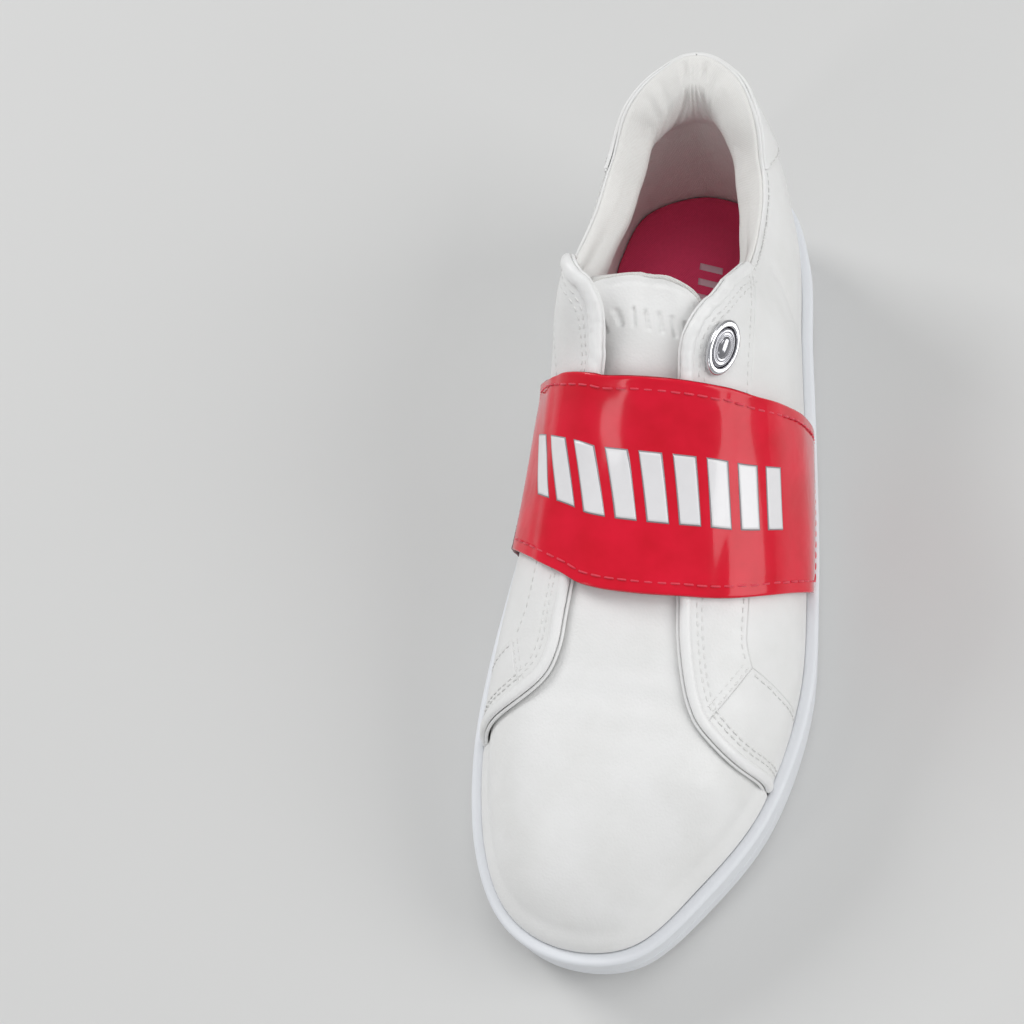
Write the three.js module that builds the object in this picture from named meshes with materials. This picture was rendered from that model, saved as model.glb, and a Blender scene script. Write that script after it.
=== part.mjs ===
// A low slip-on trainer, left foot, with a wide elastic strap over the instep.
//
// Millimetres, +Z up. The toe points to -Y, the heel to +Y and the outer
// (lateral) side to +X. The origin is on the ground, at the middle of the box.
//
// Every part of the upper is cut from one smooth "last" surface. A place on it
// is [side, along, up]: side is LATERAL or MEDIAL, along runs in millimetres
// from the toe tip to the back of the heel, and up goes from 0 at the rim of
// the sole to 1 at the middle of the instep. Leather, foam and lining are
// layers at different distances from that surface.

import * as THREE from 'three';
import { mergeVertices } from 'three/addons/utils/BufferGeometryUtils.js';

// ---------------------------------------------------------------- sizes
const LENGTH = 270;              // outsole, toe to heel
const WIDTH = 99;                // outsole, at the ball of the foot
const INSTEP_RISE = 1;           // multiplies the height of the instep
const WALL = 2.9;                // side wall of the cupsole
const FLOOR = 5;                 // floor of the cupsole
const GROOVE_DROP = 11;          // the fine groove, below the rim
const GROOVE = 0.7;              // depth and half height of the groove
const TOE_SPRING = 4;            // how far the toe of the sole lifts
const UPPER_INSET = 5;           // last surface, inside the edge of the sole
const LEATHER = 1.3;             // upper leather
const LINING = 0.8;              // lining cloth
const CLEARANCE = 0.3;           // between pieces that lie on each other
const SEAM = 0.8;                // between pieces that meet edge to edge
const COLLAR_PAD = 5.6;          // collar foam at its thickest
const TONGUE_PAD = 3.5;
const PIPING_RADIUS = 1.1;
const STRAP_LEATHER = 0.9;
const STRAP_BACKING = 0.6;
const STUD_RADIUS = 8;
const STUD_FACE_RADIUS = 5.9;
const STUD_HEIGHT = 2.2;
const STUD_NARROW = 0.58;        // the stud is an oval, this share of its length across
const STROBEL = 1.2;
const FOOTBED = 3.5;
const FOOTBED_COVER = 1;
const BOARD_GAP = 1.2;           // round the strobel board and the footbed, inside the lining

// How far each layer is from the last surface, going inwards from the leather.
const UNDER = -1.2;                                        // just under the quarters
const VAMP = [UNDER - LEATHER, UNDER];
const TOE_PUFF = [VAMP[0] - CLEARANCE - 0.7, VAMP[0] - CLEARANCE];
const VAMP_LINING = [TOE_PUFF[0] - CLEARANCE - LINING, TOE_PUFF[0] - CLEARANCE];
const QUARTER = [0, LEATHER];
const QUARTER_LINING = [UNDER - CLEARANCE - LINING, UNDER - CLEARANCE];
const COUNTER = [UNDER - LEATHER, UNDER];
const HEEL_TAB = [LEATHER + 2 * CLEARANCE, 2 * LEATHER + 2 * CLEARANCE];
const TONGUE_COVER = [VAMP[0] - 0.5 - LEATHER, VAMP[0] - 0.5];
const TONGUE_FOAM = [TONGUE_COVER[0] - CLEARANCE - TONGUE_PAD, TONGUE_COVER[0] - CLEARANCE];
const TONGUE_LINING = [TONGUE_FOAM[0] - CLEARANCE - LINING, TONGUE_FOAM[0] - CLEARANCE];
const PIPING_HEIGHT = PIPING_RADIUS - 0.1;
const STRAP_UNDER = PIPING_HEIGHT + PIPING_RADIUS + 0.5;
const BACKING = [STRAP_UNDER, STRAP_UNDER + STRAP_BACKING];
const PATENT = [BACKING[1] + 0.4, BACKING[1] + 0.4 + STRAP_LEATHER];

// ---------------------------------------------------------------- the last
const LATERAL = 1;
const MEDIAL = -1;
const PATTERN_LENGTH = 270;      // the size that the outline below is drawn at
const PATTERN_WIDTH = 99;
const lengthwise = y => y * LENGTH / PATTERN_LENGTH;
const widthwise = x => x * WIDTH / PATTERN_WIDTH;

// Edge of the sole: toe tip, lateral side, heel, medial side.
const OUTLINE = [
  [-14.5, -135], [6.5, -131.5], [24, -113.5], [40.5, -87], [49.5, -52], [49.2, -15], [46, 25],
  [42, 65], [38.8, 98], [28.3, 124], [2, 135], [-24.5, 125], [-34.7, 100], [-36.4, 65],
  [-40.5, 30], [-45.2, -10], [-49.3, -50], [-49.5, -80], [-44, -108], [-32.7, -127],
].map(([x, y]) => new THREE.Vector3(widthwise(x), lengthwise(y), 0));
const edgeOfSole = new THREE.CatmullRomCurve3(OUTLINE, true, 'catmullrom', 0.5).getPoints(1200);

const TOE_CENTRE = [widthwise(-9), lengthwise(-86)];     // the toe is a fan about this point
const HEEL_CENTRE = [widthwise(2), lengthwise(98)];      // and the heel about this one
const TOE_ARC = 40;              // millimetres of "along" per radian of each fan
const HEEL_ARC = 34;
const TOE_TIP = TOE_CENTRE[1] - Math.PI / 2 * TOE_ARC;
const HEEL_BACK = HEEL_CENTRE[1] + Math.PI / 2 * HEEL_ARC;

const clamp = (v, lo, hi) => Math.min(Math.max(v, lo), hi);
const smooth = v => { const w = clamp(v, 0, 1); return w * w * (3 - 2 * w); };
const mix = (a, b, w) => a + (b - a) * w;

// A smooth curve through [place along the shoe, value] pairs.
function profile(pairs) {
  const xs = pairs.map(p => lengthwise(p[0]));
  const ys = pairs.map(p => p[1]);
  const last = xs.length - 1;
  const chord = i => (ys[i + 1] - ys[i]) / (xs[i + 1] - xs[i]);
  const slope = xs.map((_, i) => {
    if (i === 0) return chord(0);
    if (i === last) return chord(last - 1);
    const before = xs[i] - xs[i - 1];
    const after = xs[i + 1] - xs[i];
    return (chord(i - 1) * after + chord(i) * before) / (before + after);
  });
  return x => {
    if (x <= xs[0]) return ys[0] + slope[0] * (x - xs[0]);
    if (x >= xs[last]) return ys[last] + slope[last] * (x - xs[last]);
    const i = xs.findIndex(v => v > x) - 1;
    const span = xs[i + 1] - xs[i];
    const t = (x - xs[i]) / span;
    return (2 * t ** 3 - 3 * t ** 2 + 1) * ys[i] + (t ** 3 - 2 * t ** 2 + t) * span * slope[i]
      + (3 * t ** 2 - 2 * t ** 3) * ys[i + 1] + (t ** 3 - t ** 2) * span * slope[i + 1];
  };
}

const rim = profile([[-135, 25], [-60, 24.5], [0, 25.5], [60, 27.5], [135, 30]]);
const instep = profile([[-150, 36], [-135, 41], [-110, 48.5], [-88, 53.5], [-60, 58.5], [-30, 66.5],
  [0, 81], [20, 95], [40, 105], [55, 110], [151, 140]].map(([y, z]) => [y, z * INSTEP_RISE]));
const fullness = profile([[-135, 2.35], [-86, 2.3], [-40, 2.25], [40, 2.28], [80, 2.4], [135, 2.5]]);

// Collar edge: its height, and how far out it is as a share of the last's half width.
const COLLAR_FRONT = lengthwise(45);
const collarHeight = profile([[45, 93.5], [62, 81.6], [87, 75.7], [105, 78], [124, 85],
  [138, 89.5], [151.4, 93]]);
const collarReach = {
  [LATERAL]: profile([[45, 0.527], [62, 0.63], [87, 0.688], [108, 0.69], [125, 0.77], [138, 0.93], [151.4, 0.975]]),
  [MEDIAL]: profile([[45, 0.82], [62, 0.888], [87, 0.806], [108, 0.77], [123, 0.82], [138, 0.93], [151.4, 0.975]]),
};

const midsoleTop = profile([[-135, 9.5], [-60, 10], [0, 12], [60, 16], [135, 18]]);
const toeLift = y => TOE_SPRING * clamp((lengthwise(-75) - y) / lengthwise(60), 0, 1.1) ** 2;

function spineX(y) {
  const [toe, heel] = [TOE_CENTRE, HEEL_CENTRE];
  return mix(toe[0], heel[0], smooth((y - toe[1]) / (heel[1] - toe[1])));
}

// Distance from a point to the edge of the sole, in the direction (dx, dy).
function reach(x, y, dx, dy) {
  let far = 0;
  for (let i = 0; i + 1 < edgeOfSole.length; i++) {
    const [a, b] = [edgeOfSole[i], edgeOfSole[i + 1]];
    const ca = dx * (a.y - y) - dy * (a.x - x);
    const cb = dx * (b.y - y) - dy * (b.x - x);
    if (ca * cb > 0 || ca === cb) continue;
    const s = ca / (ca - cb);
    const d = (mix(a.x, b.x, s) - x) * dx + (mix(a.y, b.y, s) - y) * dy;
    far = Math.max(far, d);
  }
  return far;
}

// The half plane that a place lies in: its foot on the spine, its direction, the sole's edge.
const spokes = new Map();
function spoke(side, along) {
  const key = side + '/' + along.toFixed(5);
  if (!spokes.has(key)) {
    const y = clamp(along, TOE_CENTRE[1], HEEL_CENTRE[1]);
    let angle = 0;
    if (along < y) angle = -Math.min((y - along) / TOE_ARC, Math.PI / 2);
    if (along > y) angle = Math.min((along - y) / HEEL_ARC, Math.PI / 2);
    const s = { x: spineX(y), y, dx: side * Math.cos(angle), dy: Math.sin(angle) };
    s.edge = reach(s.x, s.y, s.dx, s.dy);
    spokes.set(key, s);
  }
  return spokes.get(key);
}

// "up" of the collar edge at this place.
function collarUp(side, along) {
  const t = Math.max(along, COLLAR_FRONT);
  const p = fullness(Math.min(t, lengthwise(135)));
  return Math.acos(clamp(collarReach[side](t), 0.1, 0.995) ** (p / 2)) / (Math.PI / 2);
}

// Height at which the cross section would close over the foot. The walls of the heel carry on up to
// the collar's edge, and give way to the instep above it, so that both sides meet at the spine.
const COLLAR_MARGIN = 0.04;
const COLLAR_BLEND = 0.42;
const SPINE_BLEND = 0.3;
function crown(side, along, up, y) {
  const middle = instep(y);
  const t = Math.max(along, COLLAR_FRONT);
  const p = fullness(Math.min(t, lengthwise(135)));
  const base = rim(clamp(y, -LENGTH / 2, LENGTH / 2));
  const back = base + (collarHeight(t) - base) / Math.sin(collarUp(side, t) * Math.PI / 2) ** (2 / p);
  const start = lengthwise(20);
  const wall = mix(middle, back, smooth((along - start) / (COLLAR_FRONT - start)));
  const belowCollar = smooth((collarUp(side, COLLAR_FRONT) + COLLAR_MARGIN - up) / COLLAR_BLEND + 1);
  return mix(middle, wall, belowCollar * smooth((1 - up) / SPINE_BLEND));
}

function onLast(side, along, up) {
  const s = spoke(side, along);
  const p = fullness(clamp(along, -LENGTH / 2, LENGTH / 2));
  const turn = clamp(up, 0, 1) * Math.PI / 2;
  const out = (s.edge - UPPER_INSET) * Math.cos(turn) ** (2 / p);
  const x = s.x + s.dx * out;
  const y = s.y + s.dy * out;
  const z = rim(y) + (crown(side, along, up, y) - rim(y)) * Math.sin(turn) ** (2 / p);
  return new THREE.Vector3(x, y, z);
}

// The last laid flat: the sole's own shape, with the rim on its edge.
function flat([side, along, up]) {
  const s = spoke(side, along);
  const out = (s.edge - UPPER_INSET) * (1 - up);
  return new THREE.Vector3(s.x + s.dx * out, s.y + s.dy * out, 0);
}

function unflat({ x, y }) {
  const foot = clamp(y, TOE_CENTRE[1], HEEL_CENTRE[1]);
  const [dx, dy] = [x - spineX(foot), y - foot];
  const side = dx >= 0 ? LATERAL : MEDIAL;
  const angle = Math.atan2(Math.abs(dy), Math.abs(dx));
  const along = foot + Math.sign(dy) * angle * (dy < 0 ? TOE_ARC : HEEL_ARC);
  const s = spoke(side, along);
  return [side, along, 1 - Math.hypot(dx, dy) / (s.edge - UPPER_INSET)];
}

// A point at a height above the last surface, measured square to it.
function above(place, height) {
  const [side, along, up] = unflat(place);
  const inner = flat([side, along, Math.max(up, 0.015)]);
  const step = 0.05;
  const near = (dx, dy) => onLast(...unflat({ x: inner.x + dx, y: inner.y + dy }));
  const normal = near(step, 0).sub(near(-step, 0)).cross(near(0, step).sub(near(0, -step))).normalize();
  return onLast(side, along, up).addScaledVector(normal, height);
}

// ---------------------------------------------------------------- solids
const shoe = new THREE.Group();

function addPiece(name, geometry, color, roughness, metalness = 0) {
  const material = new THREE.MeshStandardMaterial({ color, roughness, metalness });
  const mesh = new THREE.Mesh(geometry, material);
  mesh.name = name;
  shoe.add(mesh);
  return mesh;
}

function solid(points, faces) {
  let volume = 0;
  for (const [a, b, c] of faces) volume += points[a].dot(points[b].clone().cross(points[c]));
  const outward = volume > 0 ? faces : faces.map(([a, b, c]) => [a, c, b]);
  const geometry = new THREE.BufferGeometry().setFromPoints(points);
  geometry.setIndex(outward.flat());
  return geometry;
}

// Joins closed loops of the same length into a body; the ends close as a strip.
function loft(loops, closed = false) {
  const [n, m] = [loops.length, loops[0].length];
  const faces = [];
  const quad = (a, b, c, d) => faces.push([a, b, c], [a, c, d]);
  for (let i = 0; i < (closed ? n : n - 1); i++) {
    const next = (i + 1) % n;
    for (let j = 0; j < m; j++) {
      const k = (j + 1) % m;
      const square = [i * m + j, next * m + j, next * m + k, i * m + k];
      if (j >= m / 2) square.unshift(square.pop());     // both faces split the same way
      quad(...square);
    }
  }
  if (!closed) {
    for (let j = 0; j + 1 < m / 2; j++) {
      quad(j, j + 1, m - 2 - j, m - 1 - j);
      const e = (n - 1) * m;
      quad(e + j, e + m - 1 - j, e + m - 2 - j, e + j + 1);
    }
  }
  return solid(loops.flat(), faces);
}

const steps = (n, from = 0, to = 1) => Array.from({ length: n + 1 }, (_, i) => mix(from, to, i / n));

// A smooth line on the flat pattern through a list of places.
function line(places) {
  const curve = new THREE.CatmullRomCurve3(places.map(flat), false, 'catmullrom', 0.5);
  return { at: t => curve.getPointAt(clamp(t, 0, 1)), length: curve.getLength() };
}

// A four-sided pattern piece between its edge lines, cut back by half a seam all round.
function pattern({ bottom, top, front, back, seams = [1, 1, 1, 1] }) {
  const [c0, c1, d0, d1] = [bottom, top, front, back].map(line);
  const cut = (k, edge) => seams[k] * SEAM / 2 / edge.length;
  return (s, r) => {
    const u = mix(cut(2, c0), 1 - cut(3, c0), s);
    const v = mix(cut(0, d0), 1 - cut(1, d0), r);
    const p = new THREE.Vector3();
    p.addScaledVector(c0.at(u), 1 - v).addScaledVector(c1.at(u), v);
    p.addScaledVector(d0.at(v), 1 - u).addScaledVector(d1.at(v), u);
    p.addScaledVector(c0.at(0), -(1 - u) * (1 - v)).addScaledVector(c0.at(1), -u * (1 - v));
    return p.addScaledVector(c1.at(0), -(1 - u) * v).addScaledVector(c1.at(1), -u * v);
  };
}

// The lasting edge: straight down inside the cupsole, onto the midsole insert.
function hem(place, height) {
  const p = above(place, height);
  p.z = midsoleTop(p.y) + toeLift(p.y) + CLEARANCE;
  return p;
}

// A layer of a pattern piece, between two heights above the last.
function layer(piece, us, vs, [low, high], hemmed = false) {
  return loft(us.map(u => {
    const outer = vs.map(v => above(piece(u, v), high));
    const inner = vs.map(v => above(piece(u, v), low));
    if (hemmed) {
      outer.unshift(hem(piece(u, vs[0]), high));
      inner.unshift(hem(piece(u, vs[0]), low));
    }
    return [...outer, ...inner.reverse()];
  }));
}

const rimLine = (side, from, to, n = 6) => steps(n, from, to).map(t => [side, t, 0]);
const scaled = places => places.map(([side, along, up]) => [side, lengthwise(along), up]);
const onSide = (side, list) => scaled(list.map(([along, up]) => [side, along, up]));

// ---------------------------------------------------------------- sole
const PERIMETER = (() => {
  const side = [...steps(7, HEEL_BACK, HEEL_CENTRE[1]), ...steps(21, HEEL_CENTRE[1], TOE_CENTRE[1]).slice(1),
    ...steps(9, TOE_CENTRE[1], TOE_TIP).slice(1)];
  return [...side.map(t => [LATERAL, t]), ...side.slice(1, -1).reverse().map(t => [MEDIAL, t])];
})();

// A flat body of the sole's shape. Each ring is [inset from the edge, height at y].
function plate(rings) {
  const n = PERIMETER.length;
  const points = rings.flatMap(([inset, height]) => PERIMETER.map(([side, along]) => {
    const s = spoke(side, along);
    const [x, y] = [s.x + s.dx * (s.edge - inset), s.y + s.dy * (s.edge - inset)];
    return new THREE.Vector3(x, y, height(y));
  }));
  const faces = [];
  for (let k = 0; k + 1 < rings.length; k++) {
    for (let i = 0; i < n; i++) {
      const [a, b] = [k * n + i, k * n + (i + 1) % n];
      faces.push([a, b, b + n], [a, b + n, a + n]);
    }
  }
  const cap = (k, flip) => {
    const height = rings[k][1];
    const spine = new Map();
    const middle = ([side, along]) => {
      const s = spoke(side, along);
      const key = s.y.toFixed(4);
      if (!spine.has(key)) {
        spine.set(key, points.length);
        points.push(new THREE.Vector3(s.x, s.y, height(s.y)));
      }
      return spine.get(key);
    };
    for (let i = 0; i < n; i++) {
      const j = (i + 1) % n;
      const [a, b, c, d] = [k * n + i, k * n + j, middle(PERIMETER[j]), middle(PERIMETER[i])];
      const add = (...f) => faces.push(flip ? [f[0], f[2], f[1]] : f);
      add(a, c, b);
      if (c !== d) add(a, d, c);
    }
  };
  cap(0, false);
  cap(rings.length - 1, true);
  return solid(points, faces);
}

const under = y => toeLift(y);
const top = y => rim(y) - CLEARANCE;
addPiece('cupsole', plate([
  [4, under], [1.2, y => under(y) + 0.8], [0, y => under(y) + 3.5],
  [0, y => top(y) - GROOVE_DROP - GROOVE], [GROOVE, y => top(y) - GROOVE_DROP],
  [0, y => top(y) - GROOVE_DROP + GROOVE], [0, y => top(y) - 1], [0.8, top],
  [WALL - 0.7, top], [WALL, y => top(y) - 0.8], [WALL, y => under(y) + FLOOR],
]), 0xf1f2f3, 0.45);

const insertTop = y => midsoleTop(y) + toeLift(y);
const stack = (inset, from, to) => plate([[inset, y => insertTop(y) + from], [inset, y => insertTop(y) + to]]);
addPiece('midsole_insert', plate([
  [WALL + CLEARANCE, y => under(y) + FLOOR + CLEARANCE], [WALL + CLEARANCE, insertTop],
]), 0xe4e2dc, 0.9);

const INSIDE = UPPER_INSET - VAMP_LINING[0] + BOARD_GAP;
let level = 2 * CLEARANCE;
addPiece('strobel_board', stack(INSIDE, level, level + STROBEL), 0xd8d5cc, 0.9);
level += STROBEL + CLEARANCE;
addPiece('footbed_foam', stack(INSIDE, level, level + FOOTBED), 0xe9dccb, 0.95);
level += FOOTBED + CLEARANCE;
addPiece('footbed_cover', stack(INSIDE, level, level + FOOTBED_COVER), 0xb3122f, 0.8);

// ---------------------------------------------------------------- vamp
const vampEdge = {
  [LATERAL]: [[-70, 0], [-69, 0.33], [-64, 0.52], [-57, 0.62], [-47, 0.68], [-36, 0.705], [-27, 0.71]],
  [MEDIAL]: [[-66, 0], [-63.5, 0.22], [-59, 0.46], [-53, 0.62], [-45, 0.68], [-36, 0.7], [-27, 0.71]],
};
const aroundToe = [
  ...rimLine(LATERAL, lengthwise(-70), TOE_TIP, 9),
  ...rimLine(MEDIAL, TOE_TIP, lengthwise(-66), 9).slice(1),
];
const throat = (along, from, to) => [
  ...[0, 0.33, 0.67].map(w => [LATERAL, lengthwise(along), mix(from, 1, w)]),
  ...[1, 0.67, 0.33, 0].map(w => [MEDIAL, lengthwise(along), mix(to, 1, w)]),
];
const vampPattern = pattern({
  bottom: aroundToe, top: throat(-27, 0.71, 0.71), seams: [0, 0, 0, 0],
  front: onSide(LATERAL, vampEdge[LATERAL]), back: onSide(MEDIAL, vampEdge[MEDIAL]),
});
const vampAcross = steps(26);
const vampUp = steps(9).map(v => v ** 1.25);
addPiece('vamp', layer(vampPattern, vampAcross, vampUp, VAMP, true), 0xf2f1ee, 0.5);
const LINING_ROWS = 9;           // the lining stops a row short, in front of the tongue
addPiece('vamp_lining',
  layer(vampPattern, vampAcross, vampUp.slice(0, LINING_ROWS), VAMP_LINING, true), 0xece7df, 0.9);
addPiece('toe_puff', layer(vampPattern, vampAcross.slice(8, 19), vampUp.slice(0, 5), TOE_PUFF, true),
  0xd9d4c8, 0.8);

// ---------------------------------------------------------------- quarters
// Front edge of each facing, with its white piping, from the rim to the collar.
const piped = {
  [LATERAL]: [[-79, 0], [-77.3, 0.365], [-71.7, 0.577], [-64.5, 0.677], [-51.3, 0.742], [-36.7, 0.771],
    [-10, 0.8], [16.9, 0.835], [24.7, 0.84], [30.1, 0.817], [35.6, 0.776], [40.2, 0.725], [45, 0.7]],
  [MEDIAL]: [[-74.5, 0], [-71.5, 0.251], [-67.1, 0.526], [-61.2, 0.702], [-53.4, 0.764], [-41.2, 0.772],
    [-10, 0.78], [18.1, 0.788], [24.3, 0.776], [33, 0.735], [38, 0.66], [42, 0.56], [46, 0.44]],
};
// The stitched line behind the facing, up to the collar.
const behindFacing = {
  [LATERAL]: [[-51.9, 0.469], [-44.9, 0.517], [-33.9, 0.527], [-10, 0.55], [15, 0.565], [34, 0.57], [48, 0.58]],
  [MEDIAL]: [[-50, 0.47], [-43, 0.52], [-33, 0.54], [-10, 0.55], [12, 0.52], [28, 0.43], [44, 0.34]],
};
const FACING_TOP = lengthwise(58);      // where the facing ends on the collar
const patchFoot = { [LATERAL]: -57.9, [MEDIAL]: -55 };
const patchHead = { [LATERAL]: [-69, 0.612], [MEDIAL]: [-65.4, 0.6] };
const collarEdge = (side, along) => [side, along, collarUp(side, along)];

for (const [side, name] of [[LATERAL, 'lateral'], [MEDIAL, 'medial']]) {
  const edge = piped[side];
  const head = patchHead[side];
  const corner = onSide(side, behindFacing[side].slice(0, 1));
  const firstAbove = edge.findIndex(([along]) => along > head[0]);
  const patchBack = [
    ...onSide(side, [[patchFoot[side], 0], [patchFoot[side] + 2, 0.25]]), ...corner,
  ];
  const patchPattern = pattern({
    bottom: rimLine(side, lengthwise(edge[0][0]), lengthwise(patchFoot[side])),
    top: [...onSide(side, [head]), ...corner],
    front: onSide(side, [...edge.slice(0, firstAbove), head]),
    back: patchBack, seams: [0, 1, 0, 1],
  });
  addPiece('side_patch_' + name, layer(patchPattern, steps(4), steps(5), QUARTER, true), 0xf3f2ef, 0.5);

  const TOP_CORNER = 9;          // the edge points from here on run along the facing's top
  const facingBack = [...onSide(side, behindFacing[side]), collarEdge(side, FACING_TOP)];
  const facingPattern = pattern({
    bottom: [...onSide(side, [head]), ...corner],
    top: [...onSide(side, edge.slice(TOP_CORNER - 1)), collarEdge(side, FACING_TOP)],
    front: onSide(side, [head, ...edge.slice(firstAbove, TOP_CORNER)]),
    back: facingBack, seams: [1, 0, 0, 2],
  });
  addPiece('facing_' + name, layer(facingPattern, steps(6), steps(14), QUARTER), 0xf4f3f0, 0.5);

  const aroundHeel = steps(9, FACING_TOP, HEEL_BACK);
  const quarterPattern = pattern({
    bottom: rimLine(side, lengthwise(patchFoot[side]), HEEL_BACK, 14),
    top: [...facingBack, ...aroundHeel.slice(1).map(t => collarEdge(side, t))],
    front: patchBack, back: steps(3).map(v => [side, HEEL_BACK, v * collarUp(side, HEEL_BACK)]),
    seams: [0, 1, 1, 1],
  });
  addPiece('quarter_' + name, layer(quarterPattern, steps(28), steps(6), QUARTER, true), 0xf3f2ef, 0.5);

  const liningEdge = {
    [LATERAL]: [[-24, 0.69], [0, 0.7], [14, 0.74], [24, 0.79], [32, 0.765], [39, 0.7]],
    [MEDIAL]: [[-24, 0.69], [0, 0.7], [14, 0.71], [22, 0.7], [30, 0.65], [37, 0.54]],
  };
  const vampSide = vampEdge[side].slice(0, 6).map(([along, up]) => [along + 1.2, up * 0.985]);
  const collarStart = lengthwise(46);
  const liningPattern = pattern({
    bottom: rimLine(side, lengthwise(vampSide[0][0]), collarStart),
    top: [...onSide(side, [...vampSide.slice(5), ...liningEdge[side]]), collarEdge(side, collarStart)],
    front: onSide(side, vampSide),
    back: steps(4).map(v => [side, collarStart, v * collarUp(side, collarStart)]), seams: [0, 0, 0, 1],
  });
  addPiece('quarter_lining_' + name, layer(liningPattern, steps(15), steps(7), QUARTER_LINING, true),
    0xf0e6e2, 0.9);

  const pipedLine = line([...onSide(side, edge), collarEdge(side, FACING_TOP)]);
  const SET_OFF = PIPING_RADIUS + CLEARANCE;
  const rows = steps(26, 0.012, 0.995);
  const path = rows.map(t => {
    const [a, b] = [pipedLine.at(t - 0.01), pipedLine.at(t + 0.01)];
    const away = new THREE.Vector3(b.y - a.y, a.x - b.x, 0).normalize().multiplyScalar(-side * SET_OFF);
    return above(pipedLine.at(t).add(away), PIPING_HEIGHT);
  });
  const round = new THREE.Shape().absarc(0, 0, PIPING_RADIUS, 0, 2 * Math.PI);
  const tube = new THREE.ExtrudeGeometry(round, {
    steps: 26, curveSegments: 3, bevelEnabled: false, extrudePath: new THREE.CatmullRomCurve3(path),
  });
  tube.deleteAttribute('normal');
  tube.deleteAttribute('uv');
  addPiece('piping_' + name, mergeVertices(tube, 1e-3), 0xfafafa, 0.4);
}

// ---------------------------------------------------------------- collar and heel
// Places round the back of the shoe, from the lateral side to the medial side.
function roundHeel(from, n) {
  const half = steps(n, from, HEEL_BACK);
  return [...half.map(t => [LATERAL, t]), ...half.slice(0, -1).reverse().map(t => [MEDIAL, t])];
}
const onCollar = ([side, along], share) => flat([side, along, share * collarUp(side, along)]);

const COLLAR_START = lengthwise(47.5);
const PAD_GAP = 0.5;              // lining to foam
const TAPER = lengthwise(14);     // the foam thins out over this length at its two ends
const padAt = along => COLLAR_PAD * mix(0.35, 1, smooth((along - COLLAR_START) / TAPER));
const padShape = [[0.5, 0.12], [0.6, 0.55], [0.7, 0.85], [0.8, 1], [0.9, 0.98], [0.965, 0.75]];
const foamIn = (along, share) => UNDER - padAt(along) * share - 0.4;
addPiece('collar_foam', loft(roundHeel(COLLAR_START, 12).map(place => [
  ...padShape.map(([v]) => above(onCollar(place, v), UNDER)),
  ...padShape.map(([v, w]) => above(onCollar(place, v), foamIn(place[1], w))).reverse(),
])), 0xe8dcc4, 0.95);

// Lining: up the inside of the foam, over its top, and down to the footbed on the other face.
addPiece('collar_lining', loft(roundHeel(COLLAR_START, 12).map(place => {
  const against = (v, w) => above(onCollar(place, v), foamIn(place[1], w) - PAD_GAP);
  const exposed = (v, w) => above(onCollar(place, v), foamIn(place[1], w) - PAD_GAP - LINING);
  const low = COUNTER[0] - CLEARANCE;
  const lower = [0, 0.22, 0.42];
  return [
    hem(onCollar(place, 0), low), ...lower.map(v => above(onCollar(place, v), low)),
    ...padShape.map(([v, w]) => against(v, w)),
    above(onCollar(place, 0.985), foamIn(place[1], 0.7)), above(onCollar(place, 0.985), UNDER),
    above(onCollar(place, 1), UNDER), above(onCollar(place, 1.012), foamIn(place[1], 0.5)),
    ...padShape.map(([v, w]) => exposed(v, w)).reverse(),
    ...lower.map(v => above(onCollar(place, v), low - LINING)).reverse(),
    hem(onCollar(place, 0), low - LINING),
  ];
})), 0xefe9da, 0.95);

addPiece('heel_counter', loft(roundHeel(lengthwise(78), 9).map(place => {
  const rows = [0, 0.15, 0.3, 0.44].map(v => onCollar(place, v));
  return [
    hem(rows[0], COUNTER[1]), ...rows.map(r => above(r, COUNTER[1])),
    ...rows.map(r => above(r, COUNTER[0])).reverse(), hem(rows[0], COUNTER[0]),
  ];
})), 0xcfc9bb, 0.8);

const TAB_TOP = lengthwise(98);
const TAB_FOOT = lengthwise(127);
const acrossTab = steps(22, -1, 1);
addPiece('heel_patch', loft(acrossTab.map(w => {
  const rows = steps(4, 0.4, 0.99).map(v => {
    const start = mix(TAB_FOOT, TAB_TOP, (v - 0.4) / 0.59);
    const along = HEEL_BACK - Math.abs(w) * (HEEL_BACK - start);
    return onCollar([w < 0 ? LATERAL : MEDIAL, along], v);
  });
  return [...rows.map(r => above(r, HEEL_TAB[1])), ...rows.map(r => above(r, HEEL_TAB[0])).reverse()];
})), 0xf3f2ef, 0.5);

// ---------------------------------------------------------------- tongue
const TONGUE_FOOT = -35;
const tonguePattern = pattern({
  bottom: throat(TONGUE_FOOT, 0.8, 0.78),
  top: scaled([[LATERAL, 38, 0.79], [LATERAL, 44.5, 0.88], [LATERAL, 47, 0.95],
    [MEDIAL, 47, 0.95], [MEDIAL, 45, 0.85], [MEDIAL, 38, 0.69]]),
  front: onSide(LATERAL, [[TONGUE_FOOT, 0.8], [-10, 0.79], [20, 0.79], [38, 0.79]]),
  back: onSide(MEDIAL, [[TONGUE_FOOT, 0.78], [-10, 0.76], [20, 0.72], [38, 0.69]]),
  seams: [0, 0, 0, 0],
});
const tongue = (name, heights, color, roughness) =>
  addPiece(name, layer(tonguePattern, steps(8), steps(10), heights), color, roughness);
tongue('tongue_cover', TONGUE_COVER, 0xf2f1ee, 0.55);
tongue('tongue_foam', TONGUE_FOAM, 0xe8dcc4, 0.95);
tongue('tongue_lining', TONGUE_LINING, 0xefe9da, 0.95);

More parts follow.
